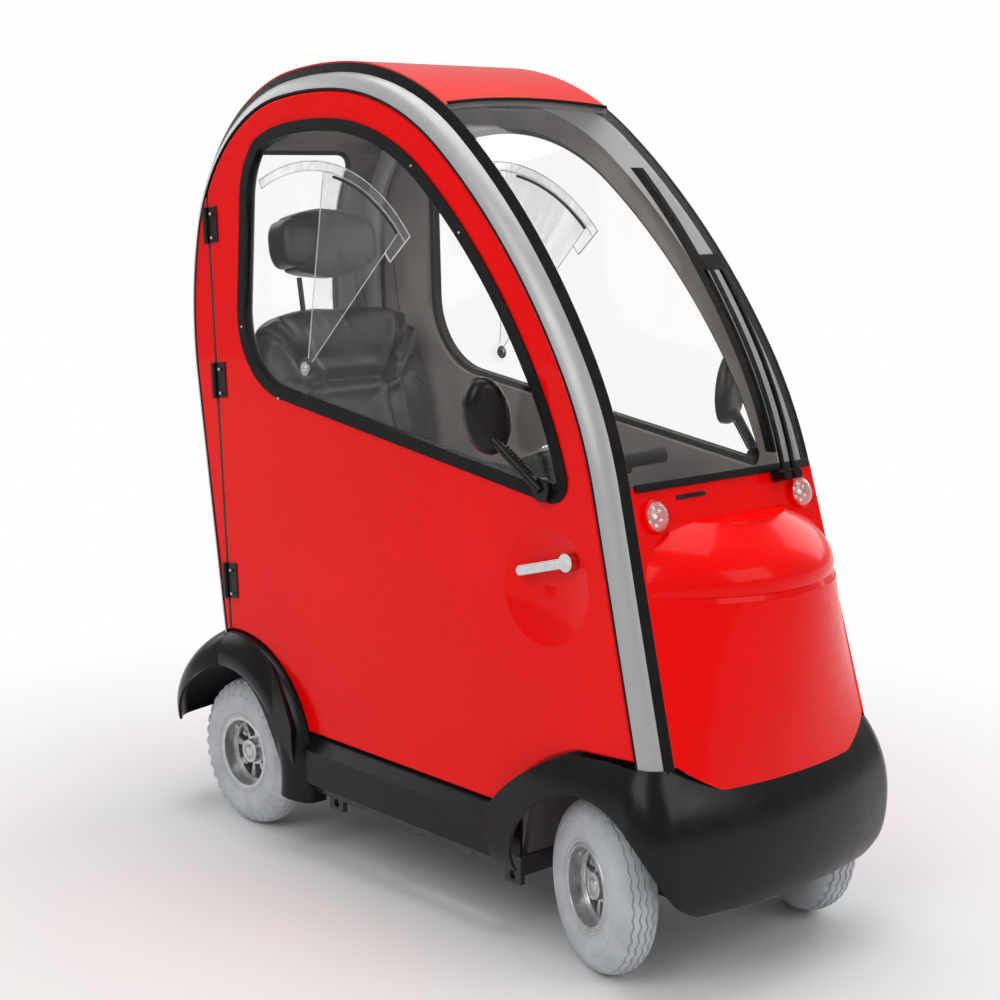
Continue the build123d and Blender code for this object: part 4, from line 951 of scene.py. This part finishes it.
def seat():
    back = pad("seat_back", "seat_back_leather", SEAT_FRAME, 0.0065, 0.010, 4.0, 0.024, (1, 2), 5.0, BUTTONS)
    creased(back, FOLDS, BACK_FRONT)
    subdivided(back)
    trim = seat_buttons(back)
    head = pad("headrest", "headrest_leather", SEAT_FRAME, 0.0045, 0.008, 4.0, 0.016, (1, 2), 3.0)
    subdivided(head)
    for piece in (back, trim, head):
        piece.data.transform(SEAT_FRAME)
    cushion = pad("seat_cushion", "seat_cushion_leather", FLAT_FRAME, 0.006, 0.009, 4.0, 0.022, (0, 1), 6.0)
    subdivided(cushion)
    arms = pad("armrests", "armrest_leather", FLAT_FRAME, 0.0045, 0.0005, 2.0, 0.004, (2,), 4.0)
    padded = {"seat_back": back, "headrest": head, "seat_cushion": cushion, "armrests": arms}
    for node, piece in padded.items():
        piece_of(smooth(piece, 180), "body", "black_leather")
        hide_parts(node)
    piece_of(trim, "body", "black_leather")


# Shell
ROOF_SEAM_BIN = 0.02
ROOF_SEAM_LOWEST = 1.5
ROOF_SEAM_SHARE = 1.93
ROOF_SEAM_LIFT = 0.001

# Linings. Columns: name, node, body, the way the faces look ((0, 0, 0) is inwards), least share, lift
# A least share below zero also takes in the side faces at the panel edges, so the lining's grey lies there
# too: partly real lining, partly painted shade in the gaps round the doors and panels.
LININGS = (
    ("right_door_lining", "door_right", "right_door", (0, 1, 0), -0.15, 0.0007),
    ("left_door_lining", "door_left", "left_door", (0, -1, 0), -0.15, 0.0007),
    ("roof_lining", "roof_panel", "body", (0, 0, -1), 0.3, 0.0008),
    ("rear_panel_lining", "rear_panel", "body", (1, 0, 0), -0.15, 0.0007),
    ("nose_lining", "nose_panel", "body", (-1, 0, 0), 0.3, 0.0008),
    ("rear_quarter_linings", "rear_quarters", "body", (0, 0, 0), -0.15, 0.0007),
)

# Section of the door seal. Columns: out from the line, out from the plane
SEAL_SECTION = ((-0.0025, -0.024), (0.0026, -0.024), (0.0026, 0.0010), (0.0006, 0.0018), (-0.0025, 0.0008))


def part_skin(node, name, unwanted):
    """A copy of a solid without the faces that a test names."""
    piece = free_copy(node, name)
    for face in edit(piece).faces:
        face.select_set(unwanted(face))
    bmesh.update_edit_mesh(piece.data)
    bpy.ops.mesh.delete(type="FACE")
    return done(piece)


def lining(name, node, body, towards, share, lift):
    """The faces of a solid that look a given way, or inwards for (0, 0, 0), as a trim sheet just off it."""
    way = Vector(towards)

    def looks_away(face):
        inwards = way if way.length else Vector((0, -1 if face.calc_center_median().y > 0 else 1, 0))
        return face.normal.dot(inwards) < share

    piece = part_skin(node, name, looks_away)
    ways = [vertex.normal.copy() for vertex in piece.data.vertices]
    for vertex, out in zip(piece.data.vertices, ways):
        vertex.co += out * lift
    piece_of(smooth(piece), body, "grey_plastic")


def linings():
    """Grey inner faces, grey edge faces as painted shade in the gaps, and the red outside of the rear
    quarters.
    """
    for row in LININGS:
        lining(*row)
    quarters = free_copy("rear_quarters", "rear_quarter_skins")
    piece_of(smooth(quarters), "body", "red_paint")
    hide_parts("rear_quarters")


def seals():
    """Black strips in the gap between each door and its hoop, and over the roof's front seam."""
    pair_of(smooth(carried("door_seal_right", SEAL_SECTION)), SHELL, "black_rubber")
    ahead = {}
    for vertex in nodes["roof_panel"].data.vertices:
        place = round(vertex.co.y / ROOF_SEAM_BIN)
        if vertex.co.z > ROOF_SEAM_LOWEST and (place not in ahead or vertex.co.x > ahead[place].x):
            ahead[place] = vertex.co.copy()
    middle = ahead[min(ahead, key=abs)]
    end = ahead[max(ahead)]
    bow = (middle.x - end.x) / (end.y ** 2)
    drop = (end.z - middle.z) / (end.y ** 2)
    cord = box_at("roof_seam_seal", (0, 0, 0), (0.014, ROOF_SEAM_SHARE * end.y, 0.006))
    edit(cord)
    bpy.ops.mesh.select_all(action="SELECT")
    bpy.ops.mesh.subdivide(number_cuts=24)
    done(cord)
    for vertex in cord.data.vertices:
        vertex.co.x += middle.x - bow * vertex.co.y ** 2
        vertex.co.z += middle.z + drop * vertex.co.y ** 2 + ROOF_SEAM_LIFT
    piece_of(smooth(cord, 50), "body", "black_rubber")


# Lamps
LAMP_Y = 0.204
LAMP_FACE = 0.0115
CORE_CIRCLE = 0.0165
CORE_RADIUS = 0.0056
MIDDLE_CORE_RADIUS = 0.0074
TAIL_RADIUS = 0.036
TAIL_Y = 0.205
TAIL_LEAN = 0.12

# Profiles of the lamp about its axis. Columns: radius, height
BEZEL = (
    (0.0300, -0.0120), (0.0322, -0.0060), (0.0318, -0.0010), (0.0298, 0.0014), (0.0276, 0.0002),
    (0.0272, -0.0100), (0.0300, -0.0120))
BOWL = (
    (0.0, -0.0130), (0.0120, -0.0122), (0.0200, -0.0098), (0.0274, -0.0030), (0.0274, -0.0120),
    (0.0, -0.0150))
LENS = (
    (0.0274, -0.0006), (0.0240, 0.0034), (0.0170, 0.0062), (0.0090, 0.0076), (0.0, 0.0080), (0.0, 0.0062),
    (0.0090, 0.0058), (0.0166, 0.0046), (0.0232, 0.0018), (0.0262, -0.0014), (0.0274, -0.0006))
AMBER = ((0.0, 0.0078), (0.0040, 0.0066), (0.0068, 0.0034), (0.0074, 0.0), (0.0, -0.001))
CORE = ((0.0, 0.95), (0.5, 0.82), (0.87, 0.45), (1.0, 0.0))


def lamp_centre():
    """Middle of the right lamp's solid, on the deck's lean."""
    low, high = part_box("front_lamps")
    return Vector(((low[0] + high[0]) / 2, -LAMP_Y, (low[2] + high[2]) / 2))


def front_lamps():
    """Each lamp's red bezel and bowl, seven bright cores, amber dome and lens."""
    out = Vector((cos(FRONT_LEAN), 0, sin(FRONT_LEAN)))
    upright = Vector((-sin(FRONT_LEAN), 0, cos(FRONT_LEAN)))
    across = Vector((0, 1, 0))
    face = lamp_centre() + out * LAMP_FACE
    bezel = turned("bezel", BEZEL, face, out, 56)
    bowl = turned("bowl", BOWL, face, out, 56)
    lens = turned("lamp_lens_right", LENS, face, out, 56)
    spots = [(0.0, 0.0, MIDDLE_CORE_RADIUS)]
    for index in range(6):
        spots.append((radians(30 + 60 * index), CORE_CIRCLE, CORE_RADIUS))
    cores = []
    for angle, reach, size in spots:
        place = face - out * 0.0105 + across * reach * cos(angle) + upright * reach * sin(angle)
        profile = [(radius * size, height * size) for radius, height in CORE] + [(0.0, -0.001)]
        cores.append(turned("core", profile, place, out, 20))
    amber_place = face - out * 0.0085 - across * 0.0195 + upright * 0.0060
    amber = turned("lamp_amber_right", AMBER, amber_place, out, 20)
    amber_finish = lens_plastic("amber indicator dome", (1.0, 0.33, 0.03), 0.12)
    for piece, slot, finish in (
        (joined("lamp_bezel_right", [bezel, bowl]), "red_paint", None),
        (joined("lamp_cores_right", cores), "chrome", None),
        (amber, "lamp_lens", amber_finish),
        (lens, "lamp_lens", None),
    ):
        pair_of(smooth(piece, 50), SHELL, slot, finish)
    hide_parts("front_lamps")


# Screws and small fittings
WINDOW_SCREWS = 16
WINDOW_SCREW_START = 11
WINDOW_SCREW_CONE = radians(2)
WINDOW_SCREW_RADIUS = 0.0030
RUBBER_WIDTHS = (0.020, 0.033)
HINGE_LEAF = 0.022
HINGE_SCREW_STEP = 0.026
HINGE_FACE = 0.0082
HINGE_SCREW_RADIUS = 0.0036


def screw(place, out, radius):
    """A low domed head."""
    profile = (
        (0.0, radius * 0.55), (radius * 0.45, radius * 0.50), (radius * 0.85, radius * 0.28), (radius, 0.0),
        (radius, -radius * 0.6), (0.0, -radius * 0.6))
    return turned("screw", profile, place, out, 16)


def window_screws():
    """Small screws round each window rubber, where both its edges are near and its width is plain."""
    spots = []
    tops = []
    c, s = cos(SIDE_LEAN), sin(SIDE_LEAN)
    for vertex in nodes["window_rubber_right"].data.vertices:
        x, inwards, z = vertex.co.x, vertex.co.y + SIDE_HALF_WIDTH, vertex.co.z
        spots.append(Vector((x, z * c + inwards * s)))
        tops.append(-inwards * c + z * s)
    ends = [(min(spot[axis] for spot in spots), max(spot[axis] for spot in spots)) for axis in (0, 1)]
    middle = Vector([(low + high) / 2 for low, high in ends])
    heads = []
    for index in range(WINDOW_SCREWS):
        angle = radians(WINDOW_SCREW_START + 360 / WINDOW_SCREWS * index)
        way = Vector((cos(angle), sin(angle)))
        reach = []
        for spot in spots:
            to = spot - middle
            if to.length > 0 and to.normalized().dot(way) > cos(WINDOW_SCREW_CONE):
                reach.append(to.length)
        if reach and RUBBER_WIDTHS[0] < max(reach) - min(reach) < RUBBER_WIDTHS[1]:
            place = middle + way * ((min(reach) + max(reach)) / 2)
            heads.append(screw(side_point(*place, max(tops)), side_normal(), WINDOW_SCREW_RADIUS))
    pair_of(joined("window_screws_right", heads), DOORS, "bright_steel")


def hinge_screws():
    heads = []
    for height in HINGE_HEIGHTS:
        x = HINGE_LOW[0] - (height - HINGE_LOW[1]) * HINGE_SLOPE + HINGE_LEAF
        for step in (-HINGE_SCREW_STEP, HINGE_SCREW_STEP):
            place = side_point(x - step * HINGE_SLOPE, height + step, HINGE_FACE)
            heads.append(screw(place, side_normal(), HINGE_SCREW_RADIUS))
    pair_of(joined("hinge_screws_right", heads), DOORS, "bright_steel")


# Fenders over the rear wheels. Columns of the section: radius about the axle, reach from the middle
FLARE_SECTION = (
    (0.2810, 0.3165),
    (0.2780, 0.3240),
    (0.2690, 0.3350),
    (0.2560, 0.3450),
    (0.2400, 0.3520),
    (0.2240, 0.3550),
    (0.2120, 0.3530),
    (0.2060, 0.3470),
    (0.2055, 0.3380),
    (0.2090, 0.3360),
    (0.2160, 0.3430),
    (0.2300, 0.3440),
    (0.2500, 0.3370),
    (0.2680, 0.3250),
    (0.2740, 0.3120),
    (0.2782, 0.2820),
    (0.2814, 0.2820),
)
FLARE_START = radians(-9)
FLARE_SWEEP = radians(104)
FLARE_STEPS = 44


def fender_flares():
    """Rolled fender edges with an inner flange, spun about the rear axle."""
    places = []
    for radius, reach in FLARE_SECTION:
        x = REAR_AXLE_X + radius * cos(FLARE_START)
        places.append((x, -reach, TYRE_RADIUS + radius * sin(FLARE_START)))
    right = closed_section("rear_flare_right", places)
    axle = (REAR_AXLE_X, 0, TYRE_RADIUS)
    bpy.ops.mesh.spin(steps=FLARE_STEPS, angle=FLARE_SWEEP, center=axle, axis=(0, 1, 0))
    pair_of(smooth(faces_out(done(right)), 45), SHELL, "black_plastic")


# Swinging vent pane
VENT_PIVOT = (-0.328, 1.051)
VENT_RADIUS = 0.432
VENT_RAIL = 0.020
VENT_START = 42
VENT_SWEEP = 74
VENT_BLADE = (46, 85)
VENT_DEPTH = 0.0105
VENT_GRIP = 0.060
VENT_GRIP_TURN = 4
VENT_STOP_SWEEP = 34
VENT_STEPS = 36


def rod_between(name, start, end, radius, sides=10):
    along = Vector(end) - Vector(start)
    return smooth(drum_at(name, (Vector(start) + Vector(end)) / 2, radius, along.length, along, sides))


def vent_point(radius, angle, out=-VENT_DEPTH):
    turn = radians(angle)
    return side_point(VENT_PIVOT[0] + radius * cos(turn), VENT_PIVOT[1] + radius * sin(turn), out)


def vent_arc(name, radius, start, sweep, tube):
    """A thin round strip along an arc of the pane."""
    rods = []
    for index in range(VENT_STEPS):
        a = start + sweep * index / VENT_STEPS
        b = start + sweep * (index + 1) / VENT_STEPS
        rods.append(rod_between(name, vent_point(radius, a), vent_point(radius, b), tube, 8))
    return joined(name, rods)


def vent_trim():
    """Silver rods along the clear pane's edges as painted highlights, dark stop strip and pivot screw of
    each vent pane.
    """
    inner = VENT_RADIUS - VENT_RAIL
    grip = vent_point(inner - VENT_GRIP, VENT_START)
    grip_end = vent_point(inner - VENT_GRIP, VENT_START + VENT_GRIP_TURN)
    end = VENT_START + VENT_SWEEP
    highlight_rods = [
        vent_arc("rail edge", VENT_RADIUS - 0.001, VENT_START, VENT_SWEEP, 0.0013),
        vent_arc("rail edge", inner, VENT_START, VENT_SWEEP, 0.0012),
        rod_between("grip edge", vent_point(VENT_RADIUS, VENT_START), grip, 0.0016),
        rod_between("grip edge", grip, grip_end, 0.0014),
        rod_between("rail end", vent_point(VENT_RADIUS, end), vent_point(inner, end), 0.0014),
    ]
    for angle in VENT_BLADE:
        highlight_rods.append(rod_between("blade edge", vent_point(0.022, angle), vent_point(inner, angle), 0.0010))
    edges = joined("vent_edges_right", highlight_rods)
    stop = vent_arc("vent_stop_right", inner - 0.006, VENT_START + VENT_GRIP_TURN, VENT_STOP_SWEEP, 0.0034)
    knob = joined("vent_screw_right", [
        screw(vent_point(0, 0, -0.0026), side_normal(), 0.0105),
        drum_at("washer", vent_point(0, 0, -0.0034), 0.0145, 0.0016, side_normal(), 32),
    ])
    # The edge rods take the silver rim finish, not the clear sheet: painted highlights on the pane's clear
    # edges.
    pair_of(edges, DOORS, "clear_sheet", FINISH["rim_alloy"])
    pair_of(stop, DOORS, "black_rubber")
    pair_of(knob, DOORS, "bright_steel")


# Mirrors
MIRROR_FOOT = (0.420, 0.896)
MIRROR_NECK = (0.322, 0.982)
STALK_RADIUS = 0.0090
STALK_RIBS = 11
MIRROR_CENTRE = (0.300, 1.022, 0.052)
MIRROR_HALVES = (0.0425, 0.0690, 0.0022)
MIRROR_PROFILE = ((0.0, -0.6), (0.92, -0.6), (1.0, -0.2), (1.0, 0.4), (0.0, 0.4))


def mirror_stalks():
    """Ribs of the bendable boot on each mirror's stalk."""
    foot = side_point(*MIRROR_FOOT, 0.014)
    along = side_point(*MIRROR_NECK, 0.047) - foot
    rings = []
    for index in range(STALK_RIBS):
        place = foot + along * (0.24 + 0.052 * index)
        rings.append(ring_at("rib", place, STALK_RADIUS + 0.0004, 0.0019, along, 28, 8))
    pair_of(joined("mirror_ribs_right", rings), DOORS, "black_rubber")


def side_way(x, height, out):
    """World direction of a direction of the right side plane."""
    return side_point(x, height, out) - side_point(0, 0, 0)


def mirror_glasses():
    """Reflecting glass on the back of each mirror head."""
    centre = side_point(*MIRROR_CENTRE)
    ahead = side_way(1, 0, 0.25).normalized()
    across = side_way(0, -0.25, 1)
    across = (across - ahead * across.dot(ahead)).normalized()
    ways = (across, ahead.cross(across), ahead)
    glass = turned("mirror_glass_right", MIRROR_PROFILE, (0, 0, 0), (0, 0, 1), 64)
    for vertex in glass.data.vertices:
        place = centre.copy()
        for way, half, share in zip(ways, MIRROR_HALVES, vertex.co):
            place += way * (half * share)
        vertex.co = place
    pair_of(smooth(faces_out(glass)), DOORS, "chrome")


# Deck and rear

def deck_trim():
    """Seal along the foot of the screen, and a thin black plate beside the lamp, painted shade where the
    slot is.
    """
    lean = Matrix.Rotation(-FRONT_LEAN, 4, "Y")
    seal = box_at("screen_foot_seal", (0.5975, 0, 0.9145), (0.010, 0.486, 0.015), lean)
    piece_of(bevelled(seal, 0.003), "body", "black_rubber")
    # The slot is not cut: a black plate stands on the deck as its painted shade.
    slot_shade_plate = box_at("deck_slot_shade", (0.6035, -0.100, 0.8885), (0.0030, 0.078, 0.009), lean)
    piece_of(bevelled(slot_shade_plate, 0.0014), "body", "black_plastic")


def rear_trim():
    """Rubber round the rear window and rings round the tail lamps."""
    rubber = part_skin("rear_window", "rear_window_rubber", lambda face: abs(face.normal.x) > 0.45)
    rubber.data.transform(Matrix.Translation((-0.0035, 0, 0)))
    modifier = rubber.modifiers.new("wall", "SOLIDIFY")
    modifier.thickness = 0.022
    modifier.offset = 0.0
    apply_modifiers(rubber)
    piece_of(smooth(faces_out(rubber)), "body", "black_rubber")
    low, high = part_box("tail_lamps")
    out = (-cos(TAIL_LEAN), 0, sin(TAIL_LEAN))
    rings = []
    for y in (-TAIL_Y, TAIL_Y):
        place = Vector((low[0] + 0.010, y, (low[2] + high[2]) / 2))
        rings.append(ring_at("ring", place, TAIL_RADIUS + 0.001, 0.0042, out, 48, 10))
    piece_of(joined("tail_lamp_rings", rings), "body", "chrome")


# Tiller head
TILLER_RAKE = radians(17)
PANEL_TOP = 0.0452
CONTROL_FOOT = PANEL_TOP + 0.002
DIAL_X = -0.030
LOCK_X = 0.024
LOCK_Y = 0.052
LEVER_HEIGHT = -0.016
DIAL_RIBS = 20

# Profiles of the turned controls. Columns: radius, height
COLLAR = ((0.0, 0.005), (0.0105, 0.005), (0.0125, 0.003), (0.0130, 0.0), (0.0, 0.0))
DIAL = (
    (0.0, 0.0150), (0.0130, 0.0148), (0.0155, 0.0130), (0.0172, 0.0040), (0.0200, 0.0020), (0.0205, 0.0),
    (0.0, 0.0))
LOCK = ((0.0, 0.008), (0.0062, 0.0078), (0.0070, 0.0068), (0.0070, 0.0), (0.0, 0.0))
BELL_PUSH = ((0.0, 0.010), (0.0050, 0.0092), (0.0082, 0.0068), (0.0090, 0.0), (0.0, 0.0))
LEVER_END = (
    (0.0, 0.008), (0.0045, 0.0068), (0.0075, 0.003), (0.0080, 0.0), (0.0060, -0.005), (0.0, -0.006))


def tiller_place():
    """From the control head's own frame, y across and z up the column, to its parked place."""
    low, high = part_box("handlebar")
    middle = [(a + b) / 2 for a, b in zip(low, high)]
    lean = Matrix.Rotation(-TILLER_RAKE, 4, "Y")
    return Matrix.Translation(middle) @ lean @ Matrix.Rotation(STEER_REST, 4, "Z")


def speed_dial():
    """A dial with a ribbed grip."""
    dial = turned("dial", DIAL, (DIAL_X, 0, CONTROL_FOOT), (0, 0, 1), 40)
    for vertex in dial.data.vertices:
        reach = Vector((vertex.co.x - DIAL_X, vertex.co.y))
        if vertex.co.z > PANEL_TOP + 0.005 and reach.length > 0.012:
            grip = 1 - 0.04 * (1 + cos(DIAL_RIBS * atan2(reach.y, reach.x))) / 2
            vertex.co.x = DIAL_X + reach.x * grip
            vertex.co.y = reach.y * grip
    return dial


def tiller_controls():
    """Display, speed dial, key, bell push, buttons and the two drive levers."""
    rings = [bevelled(box_at("panel", (-0.004, 0, PANEL_TOP), (0.118, 0.150, 0.004)), 0.0018)]
    for y in (-LOCK_Y, LOCK_Y):
        rings.append(turned("collar", COLLAR, (LOCK_X, y, CONTROL_FOOT), (0, 0, 1), 32))
    dark = [speed_dial()]
    pointer = box_at("pointer", (-0.0385, 0, PANEL_TOP + 0.0172), (0.012, 0.0018, 0.0010))
    display = bevelled(box_at("display", (0.026, 0, PANEL_TOP + 0.0026), (0.030, 0.062, 0.0020)), 0.0008)
    for y in (-0.046, -0.030, 0.030, 0.046):
        button = box_at("button", (DIAL_X, y * 1.18, PANEL_TOP + 0.0040), (0.013, 0.011, 0.0050))
        dark.append(bevelled(button, 0.0014))
    key_blade = box_at("key blade", (LOCK_X, LOCK_Y, PANEL_TOP + 0.0190), (0.0022, 0.017, 0.020))
    key = [
        turned("lock", LOCK, (LOCK_X, LOCK_Y, CONTROL_FOOT), (0, 0, 1), 28),
        bevelled(key_blade, 0.0007),
        turned("bell push", BELL_PUSH, (LOCK_X, -LOCK_Y, CONTROL_FOOT), (0, 0, 1), 28),
        pointer,
    ]
    for side in (-1, 1):
        start = (-0.034, side * 0.088, LEVER_HEIGHT)
        dark.append(rod_between("lever", start, (-0.052, side * 0.158, LEVER_HEIGHT), 0.0052, 16))
        end = (-0.0525, side * 0.160, LEVER_HEIGHT)
        dark.append(turned("lever end", LEVER_END, end, (-0.25, side, 0), 20))
    for name, shapes, slot, finish in (
        ("tiller_panel", rings, "grey_plastic", None),
        ("tiller_dial", dark, "black_plastic", None),
        ("tiller_key", key, "chrome", None),
        ("tiller_display", [display], "lamp_lens", FINISH["black_steel"]),
    ):
        piece = joined(name, shapes)
        piece.data.transform(tiller_place())
        piece_of(piece, "tiller", slot, finish)


# Air slots in the roof's lining, drawn as black plates of painted shade
ROOF_SLOTS = 8
ROOF_SLOT_PITCH = 0.015
ROOF_SLOT_START = (-0.004, -0.045, 1.5895)
ROOF_SLOT_SIZE = (0.034, 0.007, 0.005)


def roof_vents():
    """Row of black plates on the lining behind the screen's top edge, painted shade where the air slots are.
    """
    x, y, z = ROOF_SLOT_START
    slots = []
    for index in range(ROOF_SLOTS):
        place = (x + 0.002 * index, y + ROOF_SLOT_PITCH * index, z)
        # Each slot is a black plate on the lining: painted shade of the opening.
        slots.append(bevelled(box_at("slot", place, ROOF_SLOT_SIZE), 0.0015))
    piece_of(joined("roof_vent_slot_shades", slots), "body", "black_plastic")


# The dressed part
studio_floor()
softboxes()
studio_world()
camera()
scene.view_settings.view_transform = "Standard"
dress_solids()
wheels()
seat()
linings()
seals()
front_lamps()
window_screws()
hinge_screws()
tiller_controls()
roof_vents()
fender_flares()
vent_trim()
mirror_stalks()
mirror_glasses()
deck_trim()
rear_trim()
